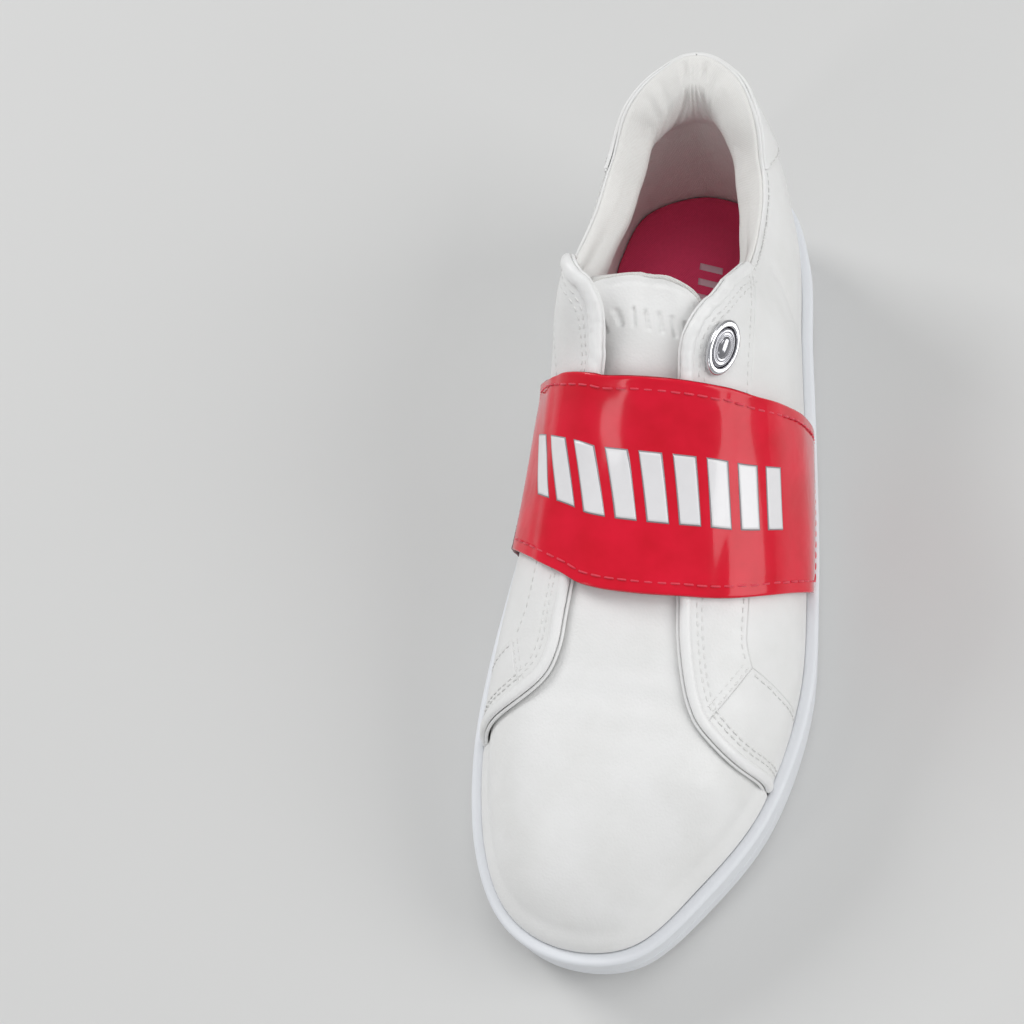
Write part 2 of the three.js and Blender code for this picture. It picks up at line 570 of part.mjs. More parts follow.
// ---------------------------------------------------------------- strap
const STRAP_END = 0.33;           // "up" of the strap's medial end, where the elastic starts
const strapFront = scaled([[LATERAL, -19, 0.008], [LATERAL, -24.6, 0.194], [LATERAL, -34.4, 0.585],
  [LATERAL, -37, 0.808], [LATERAL, -37.5, 0.97], [MEDIAL, -36, 0.88], [MEDIAL, -32.6, 0.763],
  [MEDIAL, -27, 0.55], [MEDIAL, -21.5, STRAP_END]]);
const strapRear = scaled([[LATERAL, 31, 0.008], [LATERAL, 22.8, 0.321], [LATERAL, 18.4, 0.533],
  [LATERAL, 17.3, 0.68], [LATERAL, 16.6, 0.816], [LATERAL, 16.4, 0.97], [MEDIAL, 16.6, 0.88],
  [MEDIAL, 17.7, 0.8], [MEDIAL, 21.5, 0.55], [MEDIAL, 26, STRAP_END]]);
const strapPattern = pattern({
  bottom: strapFront, top: strapRear, front: [strapFront.at(0), strapRear.at(0)],
  back: [strapFront.at(-1), scaled([[MEDIAL, 2, STRAP_END]])[0], strapRear.at(-1)],
  seams: [0, 0, 0, 0.25],
});
addPiece('strap_patent', layer(strapPattern, steps(20), steps(4), PATENT), 0xc70d2c, 0.12);
addPiece('strap_backing', layer(strapPattern, steps(20), steps(4), BACKING), 0xa5142c, 0.9);

const goreLow = 0.01;
const gorePattern = pattern({
  bottom: scaled([[MEDIAL, -21.5, STRAP_END], [MEDIAL, -18, 0.17], [MEDIAL, -15, goreLow]]),
  top: scaled([[MEDIAL, 26, STRAP_END], [MEDIAL, 26, 0.17], [MEDIAL, 26, goreLow]]),
  front: scaled([[MEDIAL, -21.5, STRAP_END], [MEDIAL, 2, STRAP_END], [MEDIAL, 26, STRAP_END]]),
  back: scaled([[MEDIAL, -15, goreLow], [MEDIAL, 5, goreLow], [MEDIAL, 26, goreLow]]), seams: [0, 0, 0.25, 0],
});
addPiece('strap_gore', layer(gorePattern, steps(5), steps(4), [BACKING[0], PATENT[1] - 0.4]), 0x5d0f1d, 0.95);

// ---------------------------------------------------------------- stud
function turned(outline) {
  const points = outline.map(([r, z]) => new THREE.Vector2(r, z));
  const geometry = new THREE.LatheGeometry(points, 24);
  geometry.deleteAttribute('normal');
  geometry.deleteAttribute('uv');
  geometry.scale(STUD_NARROW, 1, 1);
  return mergeVertices(geometry, 1e-3);
}
const studPlace = flat([LATERAL, lengthwise(26.1), 0.716]);
const studFoot = above(studPlace, 0);
const studAxis = above(studPlace, 1).sub(studFoot).normalize();
function seatStud(mesh, height) {
  mesh.position.copy(studFoot).addScaledVector(studAxis, height);
  mesh.quaternion.setFromUnitVectors(new THREE.Vector3(0, 1, 0), studAxis);
}
const [R, F, H] = [STUD_RADIUS, STUD_FACE_RADIUS, STUD_HEIGHT];
const studBase = LEATHER + CLEARANCE;
seatStud(addPiece('stud_ring', turned([
  [0, 0], [R - 0.4, 0], [R, 0.5], [R - 0.2, H * 0.7], [R - 0.9, H], [F + 0.7, H], [F + CLEARANCE, H * 0.8],
  [F + CLEARANCE, 0.8], [0, 0.8],
]), 0xc9c9cc, 0.12, 1), studBase);
seatStud(addPiece('stud_face', turned([[0, 0], [F, 0], [F, 0.6], [F - 0.6, 1], [0, 1]]), 0xd6d6d9, 0.18, 1),
  studBase + 0.8 + CLEARANCE);
const BACK_RADIUS = 4;
seatStud(addPiece('stud_backplate', turned([[0, 0], [BACK_RADIUS, 0], [BACK_RADIUS, 0.6], [0, 0.6]]),
  0xb9b9bd, 0.35, 1), QUARTER_LINING[0] - 0.4 - CLEARANCE - 0.6);

export default shoe;
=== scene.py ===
"""A white slip-on trainer, left foot, with a red patent strap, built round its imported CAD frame.

Shapes are worked out in millimetres on one smooth last surface, the same as the CAD model's, and
put into Blender in metres. A place on the last is (side, along, up): side is LATERAL or MEDIAL,
along runs from the toe tip to the back of the heel, and up goes from 0 at the rim of the sole to 1
at the middle of the instep. Laid flat, the last is the outline of the sole, with the rim on its edge.
"""
import math

import bmesh
import bpy
import numpy as np
from mathutils import Matrix, Vector

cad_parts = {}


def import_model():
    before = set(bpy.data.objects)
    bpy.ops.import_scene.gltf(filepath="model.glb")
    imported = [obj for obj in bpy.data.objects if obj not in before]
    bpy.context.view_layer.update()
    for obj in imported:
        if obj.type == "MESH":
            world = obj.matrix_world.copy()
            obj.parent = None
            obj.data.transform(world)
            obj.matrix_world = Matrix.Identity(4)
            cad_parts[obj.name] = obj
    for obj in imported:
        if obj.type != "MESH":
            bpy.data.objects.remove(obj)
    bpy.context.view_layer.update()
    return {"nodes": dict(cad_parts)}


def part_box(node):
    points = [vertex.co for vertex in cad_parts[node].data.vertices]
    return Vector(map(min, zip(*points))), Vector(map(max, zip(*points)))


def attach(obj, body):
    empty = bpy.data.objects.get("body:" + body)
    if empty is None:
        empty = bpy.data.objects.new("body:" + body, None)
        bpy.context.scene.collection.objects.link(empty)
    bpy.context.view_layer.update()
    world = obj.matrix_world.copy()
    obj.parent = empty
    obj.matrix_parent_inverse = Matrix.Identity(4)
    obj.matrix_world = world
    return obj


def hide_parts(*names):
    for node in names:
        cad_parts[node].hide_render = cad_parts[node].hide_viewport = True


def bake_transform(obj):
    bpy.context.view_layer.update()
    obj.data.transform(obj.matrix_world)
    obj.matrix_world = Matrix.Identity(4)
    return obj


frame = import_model()
MM = 0.001
rng = np.random.default_rng(7)

# ---------------------------------------------------------------- the last
LATERAL, MEDIAL = 1, -1
SIDES = ((LATERAL, "lateral"), (MEDIAL, "medial"))
UPPER_INSET = 5.0        # last surface, inside the edge of the sole
TOE_SPRING = 4.0
TOE_ARC, HEEL_ARC = 40.0, 34.0
OUTLINE = np.array([
    (-14.5, -135), (6.5, -131.5), (24, -113.5), (40.5, -87), (49.5, -52), (49.2, -15), (46, 25),
    (42, 65), (38.8, 98), (28.3, 124), (2, 135), (-24.5, 125), (-34.7, 100), (-36.4, 65),
    (-40.5, 30), (-45.2, -10), (-49.3, -50), (-49.5, -80), (-44, -108), (-32.7, -127),
])


def catmull(points, count, closed=False):
    """A smooth curve through the points, with count samples."""
    p = np.asarray(points, float)
    k = len(p)
    u = np.linspace(0, k if closed else k - 1, count, endpoint=not closed)
    i = np.minimum(u.astype(int), k - 1 if closed else k - 2)
    w = (u - i)[:, None]
    if closed:
        a, b, c, d = p[(i - 1) % k], p[i], p[(i + 1) % k], p[(i + 2) % k]
    else:
        q = np.vstack([2 * p[0] - p[1], p, 2 * p[-1] - p[-2]])
        a, b, c, d = q[i], q[i + 1], q[i + 2], q[i + 3]
    ta, tb = (c - a) / 2, (d - b) / 2
    return b + ta * w + (3 * (c - b) - 2 * ta - tb) * w**2 + (2 * (b - c) + ta + tb) * w**3


# The frame's sole says how far the outline is stretched from the size it was drawn at.
DRAWN_EDGE = catmull(OUTLINE, 4000, closed=True)
SOLE_LOW, SOLE_HIGH = [np.array(corner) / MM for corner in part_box("cupsole")]
STRETCH = (SOLE_HIGH - SOLE_LOW)[:2] / np.ptp(DRAWN_EDGE, axis=0)
EDGE = DRAWN_EDGE * STRETCH
HALF_LENGTH = 135 * STRETCH[1]
TOE_CENTRE = np.array((-9, -86)) * STRETCH
HEEL_CENTRE = np.array((2, 98)) * STRETCH
TOE_TIP = TOE_CENTRE[1] - math.pi / 2 * TOE_ARC
HEEL_BACK = HEEL_CENTRE[1] + math.pi / 2 * HEEL_ARC


def profile(*pairs):
    """A smooth function of the place along the shoe through (place, value) pairs."""
    xs, ys = np.array(pairs, float).T
    xs = xs * STRETCH[1]
    gap = np.diff(xs)
    chord = np.diff(ys) / gap
    slope = np.empty_like(ys)
    slope[0], slope[-1] = chord[0], chord[-1]
    slope[1:-1] = (chord[:-1] * gap[1:] + chord[1:] * gap[:-1]) / (xs[2:] - xs[:-2])

    def value(x):
        x = np.asarray(x, float)
        i = np.clip(np.searchsorted(xs, x) - 1, 0, len(xs) - 2)
        h = gap[i]
        t = (x - xs[i]) / h
        inside = ((2 * t**3 - 3 * t**2 + 1) * ys[i] + (t**3 - 2 * t**2 + t) * h * slope[i]
                  + (3 * t**2 - 2 * t**3) * ys[i + 1] + (t**3 - t**2) * h * slope[i + 1])
        before = ys[0] + slope[0] * (x - xs[0])
        after = ys[-1] + slope[-1] * (x - xs[-1])
        return np.where(x < xs[0], before, np.where(x > xs[-1], after, inside))
    return value


rim = profile((-135, 25), (-60, 24.5), (0, 25.5), (60, 27.5), (135, 30))
instep = profile((-150, 36), (-135, 41), (-110, 48.5), (-88, 53.5), (-60, 58.5), (-30, 66.5), (0, 81),
                 (20, 95), (40, 105), (55, 110), (151, 140))
fullness = profile((-135, 2.35), (-86, 2.3), (-40, 2.25), (40, 2.28), (80, 2.4), (135, 2.5))
midsole_top = profile((-135, 9.5), (-60, 10), (0, 12), (60, 16), (135, 18))
collar_height = profile((45, 93.5), (62, 81.6), (87, 75.7), (105, 78), (124, 85), (138, 89.5), (151.4, 93))
collar_reach = {
    LATERAL: profile((45, .527), (62, .63), (87, .688), (108, .69), (125, .77), (138, .93), (151.4, .975)),
    MEDIAL: profile((45, .82), (62, .888), (87, .806), (108, .77), (123, .82), (138, .93), (151.4, .975)),
}
COLLAR_FRONT = 45 * STRETCH[1]


def smooth(v):
    w = np.clip(v, 0, 1)
    return w * w * (3 - 2 * w)


def bump(x, centre, width):
    return np.exp(-((x - centre) / width) ** 2)


def toe_lift(y):
    return TOE_SPRING * np.clip((-75 * STRETCH[1] - y) / (60 * STRETCH[1]), 0, 1.1) ** 2


def spine_x(y):
    w = smooth((y - TOE_CENTRE[1]) / (HEEL_CENTRE[1] - TOE_CENTRE[1]))
    return TOE_CENTRE[0] + (HEEL_CENTRE[0] - TOE_CENTRE[0]) * w


def edge_sides():
    """The sole's edge from toe to heel, on each side."""
    toe, heel = np.argmin(EDGE[:, 1]), np.argmax(EDGE[:, 1])
    ring = np.roll(EDGE, -toe, axis=0)
    split = (heel - toe) % len(EDGE)
    return {LATERAL: ring[:split + 1], MEDIAL: ring[split:][::-1]}


def fan(centre, keep):
    """Angle and radius of the sole's edge seen from a fan's centre, in order of angle."""
    d = EDGE[keep] - centre
    angle = np.arctan2(np.abs(d[:, 1]), d[:, 0])
    order = np.argsort(angle)
    return angle[order], np.hypot(*d.T)[order]


SIDE_EDGE = edge_sides()
TOE_FAN = fan(TOE_CENTRE, EDGE[:, 1] < TOE_CENTRE[1] + 0.5)
HEEL_FAN = fan(HEEL_CENTRE, EDGE[:, 1] > HEEL_CENTRE[1] - 0.5)


def spoke(side, along):
    """Foot on the spine, direction and distance to the sole's edge of each place's half plane."""
    side, along = np.broadcast_arrays(np.asarray(side, float), np.asarray(along, float))
    y = np.clip(along, TOE_CENTRE[1], HEEL_CENTRE[1])
    toe = np.clip((y - along) / TOE_ARC, 0, math.pi / 2)
    heel = np.clip((along - y) / HEEL_ARC, 0, math.pi / 2)
    angle = heel - toe
    dx, dy = side * np.cos(angle), np.sin(angle)
    x = spine_x(y)
    lateral, medial = (np.interp(y, SIDE_EDGE[s][:, 1], SIDE_EDGE[s][:, 0]) for s in (LATERAL, MEDIAL))
    reach = np.abs(np.where(side > 0, lateral, medial) - x)
    turn = np.where(side > 0, np.abs(angle), math.pi - np.abs(angle))
    reach = np.where(toe > 0, np.interp(turn, *TOE_FAN), reach)
    reach = np.where(heel > 0, np.interp(turn, *HEEL_FAN), reach)
    return x, y, dx, dy, reach


def by_side(side, table, t):
    return np.where(side > 0, table[LATERAL](t), table[MEDIAL](t))


def eased(along):
    """The place along, slowed near the back of the heel, so that the sides meet there without a point."""
    left = np.maximum(HEEL_BACK - along, 0)
    return np.where(left < 12, HEEL_BACK - left * smooth(left / 12), along)


def collar_up(side, along):
    """The collar edge's place up the last."""
    t = np.maximum(eased(along), COLLAR_FRONT)
    p = fullness(np.minimum(t, HALF_LENGTH))
    return np.arccos(np.clip(by_side(side, collar_reach, t), 0.1, 0.995) ** (p / 2)) / (math.pi / 2)


def crown(side, along, up, y):
    """Height at which the cross section would close over the foot."""
    middle = instep(y)
    t = np.maximum(eased(along), COLLAR_FRONT)
    p = fullness(np.minimum(t, HALF_LENGTH))
    base = rim(np.clip(y, -HALF_LENGTH, HALF_LENGTH))
    back = base + (collar_height(t) - base) / np.sin(collar_up(side, along) * math.pi / 2) ** (2 / p)
    start = 20 * STRETCH[1]
    wall = middle + (back - middle) * smooth((along - start) / (COLLAR_FRONT - start))
    share = smooth((collar_up(side, np.full_like(y, COLLAR_FRONT)) + 0.04 - up) / 0.42 + 1)
    return middle + (wall - middle) * share * smooth((1 - up) / 0.3)


def on_last(side, along, up):
    x, y, dx, dy, reach = spoke(side, along)
    p = fullness(np.clip(along, -HALF_LENGTH, HALF_LENGTH))
    turn = np.clip(up, 0, 1) * math.pi / 2
    out = (reach - UPPER_INSET) * np.cos(turn) ** (2 / p)
    px, py = x + dx * out, y + dy * out
    pz = rim(py) + (crown(side, along, up, py) - rim(py)) * np.sin(turn) ** (2 / p)
    return np.stack([px, py, pz], -1)


def flat(side, along, up):
    x, y, dx, dy, reach = spoke(side, along)
    out = (reach - UPPER_INSET) * (1 - np.asarray(up))
    return np.stack([x + dx * out, y + dy * out], -1)


def unflat(p):
    foot = np.clip(p[..., 1], TOE_CENTRE[1], HEEL_CENTRE[1])
    dx, dy = p[..., 0] - spine_x(foot), p[..., 1] - foot
    side = np.where(dx >= 0, LATERAL, MEDIAL)
    angle = np.arctan2(np.abs(dy), np.abs(dx))
    along = foot + np.sign(dy) * angle * np.where(dy < 0, TOE_ARC, HEEL_ARC)
    reach = spoke(side, along)[4]
    return side, along, 1 - np.hypot(dx, dy) / (reach - UPPER_INSET)


def surface(p):
    return on_last(*unflat(p))


def tangents(p):
    """The last's two tangent directions at flat places, held just inside the rim."""
    side, along, up = unflat(p)
    inner = flat(side, along, np.maximum(up, 0.015))
    step = 0.05
    ex, ey = np.array((step, 0)), np.array((0, step))
    return ((surface(inner + ex) - surface(inner - ex)) / (2 * step),
            (surface(inner + ey) - surface(inner - ey)) / (2 * step))


def unit(v):
    return v / np.linalg.norm(v, axis=-1, keepdims=True)


def normals(p):
    return unit(np.cross(*tangents(p)))


def above(p, height):
    return surface(p) + normals(p) * np.asarray(height)[..., None]


def shift(p, distance):
    """Moves a row of flat places sideways by a true distance on the last, to the left of its run."""
    tx, ty = tangents(p)
    run = np.gradient(surface(p), axis=0)
    across = unit(np.cross(np.cross(tx, ty), run)) * distance
    a, b, c = (tx * tx).sum(-1), (tx * ty).sum(-1), (ty * ty).sum(-1)
    u, v = (tx * across).sum(-1), (ty * across).sum(-1)
    det = a * c - b * b
    return p + np.stack([(c * u - b * v) / det, (a * v - b * u) / det], -1)


def places(side, pairs):
    """Flat places on one side from (along, up) pairs."""
    along, up = np.array(pairs, float).T
    return flat(side, along * STRETCH[1], up)


class Line:
    """A smooth line on the flat pattern, walked by its length on the last."""

    def __init__(self, points, count=400, exact=False):
        points = np.asarray(points, float)
        straight = len(points) == 2
        if exact:
            self.points = points
        elif straight:
            self.points = points[0] + np.linspace(0, 1, count)[:, None] * (points[1] - points[0])
        else:
            self.points = catmull(points, count)
        gaps = np.linalg.norm(np.diff(surface(self.points), axis=0), axis=1)
        self.run = np.concatenate([[0], np.cumsum(gaps)])
        self.length = self.run[-1]

    def at(self, share):
        d = np.clip(share, 0, 1) * self.length
        return np.stack([np.interp(d, self.run, self.points[:, k]) for k in (0, 1)], -1)

    def beside(self, distance):
        """The line a true distance to its left."""
        return Line(shift(self.points, float(distance)), exact=True)

    def part(self, start, end):
        return Line(self.at(np.linspace(start, end, 120)), exact=True)


class Patch:
    """A four-sided pattern piece between its edge lines. Each seam is how far its edge is cut back."""

    def __init__(self, bottom, top, front, back, seams=(0, 0, 0, 0)):
        self.bottom, self.top, self.front, self.back = bottom, top, front, back
        across, up = (bottom.length + top.length) / 2, (front.length + back.length) / 2
        self.low = (seams[2] / across, seams[0] / up)
        self.high = (1 - seams[3] / across, 1 - seams[1] / up)
        self.size = (across, up)

    def at(self, u, v):
        u, v = np.broadcast_arrays(np.asarray(u, float), np.asarray(v, float))
        u = np.clip(self.low[0] + (self.high[0] - self.low[0]) * u, self.low[0], self.high[0])
        v = np.clip(self.low[1] + (self.high[1] - self.low[1]) * v, self.low[1], self.high[1])
        a, b = u[..., None], v[..., None]
        c0, c1, d0, d1 = self.bottom.at(u), self.top.at(u), self.front.at(v), self.back.at(v)
        p00, p10, p01, p11 = self.bottom.at(0.), self.bottom.at(1.), self.top.at(0.), self.top.at(1.)
        corners = (1 - a) * (1 - b) * p00 + a * (1 - b) * p10 + (1 - a) * b * p01 + a * b * p11
        return (1 - b) * c0 + b * c1 + (1 - a) * d0 + a * d1 - corners

    def grid(self, step=1.3):
        u, v = (spaced(length, step) for length in self.size)
        return self.at(u[:, None], v[None])


EDGE_BAND = 1.3


def spaced(length, step):
    """Shares from 0 to 1 about step millimetres apart, closer together in a band at both ends."""
    ends = np.array([0, 0.07, 0.2, 0.42, 0.7]) * EDGE_BAND
    inner = np.linspace(EDGE_BAND, length - EDGE_BAND, max(3, int((length - 2 * EDGE_BAND) / step)))
    return np.concatenate([ends, inner, length - ends[::-1]]) / length


# ---------------------------------------------------------------- meshes
def outward(mesh):
    """Turns the faces so that the closed mesh's volume is positive."""
    co = np.empty(len(mesh.vertices) * 3)
    mesh.vertices.foreach_get("co", co)
    mesh.calc_loop_triangles()
    tri = np.empty(len(mesh.loop_triangles) * 3, np.int32)
    mesh.loop_triangles.foreach_get("vertices", tri)
    a, b, c = (co.reshape(-1, 3)[tri.reshape(-1, 3)[:, k]] for k in range(3))
    if (a * np.cross(b, c)).sum() < 0:
        mesh.flip_normals()


def add_mesh(name, body, finish, shape, stands_for=None, weld=False):
    """A smooth-shaded piece that rides on a body, and the CAD node that it stands for. Its finish is a
    material and the record's slot, of which the slot is not used, and its shape is vertices and faces."""
    (material, slot), (verts, faces) = finish, shape
    mesh = bpy.data.meshes.new(name)
    mesh.from_pydata((np.asarray(verts) * MM).tolist(), [], [list(map(int, f)) for f in faces])
    if weld:
        work = bmesh.new()
        work.from_mesh(mesh)
        bmesh.ops.remove_doubles(work, verts=work.verts, dist=0.02 * MM)
        work.to_mesh(mesh)
        work.free()
    mesh.validate()
    mesh.update()
    outward(mesh)
    mesh.polygons.foreach_set("use_smooth", [True] * len(mesh.polygons))
    mesh.materials.append(material)
    obj = bpy.data.objects.new(name, mesh)
    bpy.context.scene.collection.objects.link(obj)
    if body:
        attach(obj, body)
    if stands_for:
        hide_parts(stands_for)
    return obj


def grid_faces(n, m, wrap_rows=False, wrap_columns=False, start=0):
    i, j = np.meshgrid(np.arange(n if wrap_rows else n - 1), np.arange(m if wrap_columns else m - 1),
                       indexing="ij")
    i2, j2 = (i + 1) % n, (j + 1) % m
    quads = np.stack([i * m + j, i2 * m + j, i2 * m + j2, i * m + j2], -1)
    return quads.reshape(-1, 4) + start


def loft(loops):
    """Vertices and faces of a body through closed loops of one length; its two ends close as a strip."""
    n, m = loops.shape[:2]
    faces = grid_faces(n, m, wrap_columns=True).tolist()
    last = (n - 1) * m
    for j in range((m - 1) // 2):
        face = [j, j + 1, m - 2 - j, m - 1 - j]
        face = face[:3] if face[1] == face[2] else face
        faces.append(face)
        faces.append([last + k for k in reversed(face)])
    return loops.reshape(-1, 3), faces


def add_disc(name, finish, loops, stands_for):
    """A piece of the shoe whose sections all start and end on its middle, where they are welded."""
    n, m = loops.shape[:2]
    shape = loops.reshape(-1, 3), grid_faces(n, m, wrap_rows=True)
    return add_mesh(name, "shoe", finish, shape, stands_for, weld=True)


def nearest(points, lines):
    """Distance on the last from each point to the nearest of the lines."""
    targets = np.concatenate([surface(line.at(np.linspace(0, 1, int(line.length) + 2))) for line in lines])
    flat_points = points.reshape(-1, 3)
    result = np.empty(len(flat_points))
    for start in range(0, len(flat_points), 2000):
        block = flat_points[start:start + 2000]
        d = ((block[:, None] - targets[None]) ** 2).sum(-1)
        result[start:start + 2000] = np.sqrt(d.min(1))
    return result.reshape(points.shape[:-1])


FURROW_DEPTH, FURROW_WIDTH = 0.16, 0.75


def shell(grid, heights, hemmed=False, rounding=0.5, round_at=(1, 1, 1, 1), relief=None, furrows=(),
          lift=None):
    """A layer of a pattern piece between two heights above the last. Its outer face rolls down at
    the chosen edges (bottom, top, front, back) and sinks a little under its lines of stitching. Relief
    moves the outer face, and lift moves both."""
    low, high = heights
    n, m = grid.shape[:2]
    base = surface(grid)
    up_steps, along_steps = (np.linalg.norm(np.diff(base, axis=k), axis=2) for k in (1, 0))
    v_run = np.concatenate([np.zeros((n, 1)), np.cumsum(up_steps, 1)], 1)
    u_run = np.concatenate([np.zeros((1, m)), np.cumsum(along_steps, 0)], 0)
    drop = np.zeros((n, m))
    for used, distance in zip(round_at, (v_run, v_run[:, -1:] - v_run, u_run, u_run[-1:] - u_run)):
        if used:
            t = np.clip(1 - distance / rounding, 0, 1)
            drop = np.maximum(drop, rounding * (1 - np.sqrt(1 - t * t * 0.96)))
    height = high - drop
    if relief is not None:
        height = height + relief(grid)
    if furrows:
        height = height - FURROW_DEPTH * bump(nearest(base, furrows), 0, FURROW_WIDTH)
    normal = normals(grid)
    whole = 0 if lift is None else normal * lift(grid)[..., None]
    outer = base + normal * height[..., None] + whole
    inner = base + normal * low + whole
    if hemmed:
        outer, inner = (np.concatenate([hem(face[:, :1]), face], 1) for face in (outer, inner))
    return loft(np.concatenate([outer, inner[:, ::-1]], 1))


def joined(bodies):
    """One set of vertices and faces from several bodies."""
    verts, faces, offset = [], [], 0
    for own_verts, own_faces in bodies:
        verts.append(own_verts)
        faces += [[offset + k for k in face] for face in own_faces]
        offset += len(own_verts)
    return np.concatenate(verts), faces


def hem(points):
    """The lasting edge: straight down inside the cupsole, onto the midsole insert."""
    row = points.copy()
    row[..., 2] = midsole_top(row[..., 1]) + toe_lift(row[..., 1]) + 0.3
    return row


def hemmed_both(loops):
    return np.concatenate([hem(loops[:, :1]), loops, hem(loops[:, -1:])], 1)


THREAD_RADIUS = 0.23


def stitches(name, body, finish, lines, height, length=2.0, gap=0.6, lift=None):
    """Thread laid in short arches along lines on the pattern, each end sunk in its hole."""
    shares = np.array([0, 0.12, 0.35, 0.65, 0.88, 1])
    arch = np.array([-0.3, 0.0, 0.1, 0.1, 0.0, -0.3])
    girth = np.array([0.6, 0.95, 1, 1, 0.95, 0.6])[:, None, None] * THREAD_RADIUS
    turns = np.linspace(0, 2 * math.pi, 6, endpoint=False)[:, None]
    sides = len(turns)
    verts, faces, start = [], [], 0
    for line in lines:
        count = max(1, round(line.length / (length + gap)))
        pitch = line.length / count
        span = pitch * length / (length + gap)
        s = (np.arange(count)[:, None] + 0.5) * pitch + (shares - 0.5) * span
        p = line.at(s / line.length)
        normal = normals(p)
        base = surface(p)
        across = unit(np.cross(normal, np.gradient(base, axis=1)))
        shifted, skewed = (rng.normal(0, spread, (count, 1, 1)) for spread in (0.04, 0.03))
        wander = shifted + skewed * (shares - 0.5)[:, None]
        raised = height + arch + (0 if lift is None else lift(p))
        centre = base + normal * (raised + 0 * s)[..., None] + across * wander
        ring = centre[:, :, None] + girth * (
            across[:, :, None] * np.cos(turns) * 1.2 + normal[:, :, None] * np.sin(turns))
        for k in range(count):
            verts.append(ring[k].reshape(-1, 3))
            faces += grid_faces(len(shares), sides, wrap_columns=True, start=start).tolist()
            last = start + sides * (len(shares) - 1)
            faces.append(list(range(start, start + sides))[::-1])
            faces.append(list(range(last, last + sides)))
            start += sides * len(shares)
    add_mesh(name, body, finish, (np.concatenate(verts), faces))


def sweep(line, section, offset, shares, lift=None, swell=None):
    """A body with a section carried along a line. Offset moves it to the line's left, lift raises it,
    and swell says how much larger the section is along the way."""
    p = line.at(shares)
    base, normal = surface(p), normals(p)
    left = unit(np.cross(normal, np.gradient(base, axis=0)))
    scale = np.ones((len(shares), 1)) if swell is None else swell
    across = offset + section[:, 0] * scale
    high = section[:, 1] * scale + (0 if lift is None else lift(p)[:, None])
    loops = base[:, None] + left[:, None] * across[..., None] + normal[:, None] * high[..., None]
    return loft(loops)


# ---------------------------------------------------------------- materials
class Look:
    """A material and short calls for the nodes that its looks are made of."""

    def __init__(self, name, color, roughness, **sockets):
        self.material = bpy.data.materials.new(name)
        self.material.use_nodes = True
        self.tree = self.material.node_tree
        self.shader = self.tree.nodes["Principled BSDF"]
        self.shader.inputs["Base Color"].default_value = (*color, 1)
        self.shader.inputs["Roughness"].default_value = roughness
        for socket, value in sockets.items():
            self.shader.inputs[socket.replace("_", " ")].default_value = value
        self.place = self.node("ShaderNodeTexCoord").outputs["Object"]
        self.surface = None

    def node(self, kind, inputs=(), **settings):
        made = self.tree.nodes.new(kind)
        for key, value in settings.items():
            setattr(made, key, value)
        for key, value in dict(inputs).items():
            if isinstance(value, bpy.types.NodeSocket):
                self.tree.links.new(value, made.inputs[key])
            else:
                made.inputs[key].default_value = value
        return made

    def noise(self, size, detail, distortion=0):
        """Noise whose blobs are about size millimetres across."""
        return self.node("ShaderNodeTexNoise", {
            "Vector": self.place, "Scale": 1 / (size * MM), "Detail": detail, "Distortion": distortion,
        }).outputs["Fac"]

    def cells(self, size):
        """Rounded cells about size millimetres across."""
        return self.node("ShaderNodeTexVoronoi", {"Vector": self.place, "Scale": 1 / (size * MM)},
                         feature="SMOOTH_F1").outputs["Distance"]

    def waves(self, size, turn, distortion=0, along="X"):
        """Parallel ribs size millimetres apart."""
        turned = self.node("ShaderNodeMapping", {"Vector": self.place, "Rotation": turn}).outputs["Vector"]
        scale = 2 * math.pi / 20 / (size * MM)
        return self.node("ShaderNodeTexWave", {
            "Vector": turned, "Scale": scale, "Distortion": distortion, "Detail": 1, "Detail Scale": 2,
        }, bands_direction=along).outputs["Fac"]

    def math(self, operation, a, b):
        return self.node("ShaderNodeMath", {0: a, 1: b}, operation=operation).outputs[0]

    def ranged(self, value, low, high, to_low, to_high):
        return self.node("ShaderNodeMapRange", {
            "Value": value, "From Min": low, "From Max": high, "To Min": to_low, "To Max": to_high,
        }).outputs["Result"]

    def tint(self, factor, color_a, color_b):
        mixed = self.node("ShaderNodeMix", {"Factor": factor}, data_type="RGBA")
        mixed.inputs[6].default_value = (*color_a, 1)
        mixed.inputs[7].default_value = (*color_b, 1)
        self.tree.links.new(mixed.outputs[2], self.shader.inputs["Base Color"])

    def rough(self, value, low, high):
        self.tree.links.new(self.ranged(value, 0.3, 0.7, low, high), self.shader.inputs["Roughness"])

    def bumped(self, height, depth):
        """Adds relief depth millimetres deep, on top of what was added before."""
        node = self.node("ShaderNodeBump", {"Height": height, "Distance": depth * MM, "Strength": 1.0})
        if self.surface is not None:
            self.tree.links.new(self.surface, node.inputs["Normal"])
        self.surface = node.outputs["Normal"]
        self.tree.links.new(self.surface, self.shader.inputs["Normal"])

    def grain(self, size, detail, depth):
        self.bumped(self.noise(size, detail), depth)


def white_leather():
    look = Look("white_leather", (0.82, 0.82, 0.81), 0.42, Coat_Weight=0.12, Coat_Roughness=0.3)
    look.tint(look.ranged(look.noise(16, 3), 0.35, 0.65, 0, 1), (0.80, 0.80, 0.785), (0.84, 0.84, 0.83))
    look.rough(look.noise(5, 3), 0.36, 0.5)
    look.grain(11, 2, 0.22)
    look.bumped(look.cells(0.7), 0.055)
    look.grain(0.28, 2, 0.02)
    return look.material


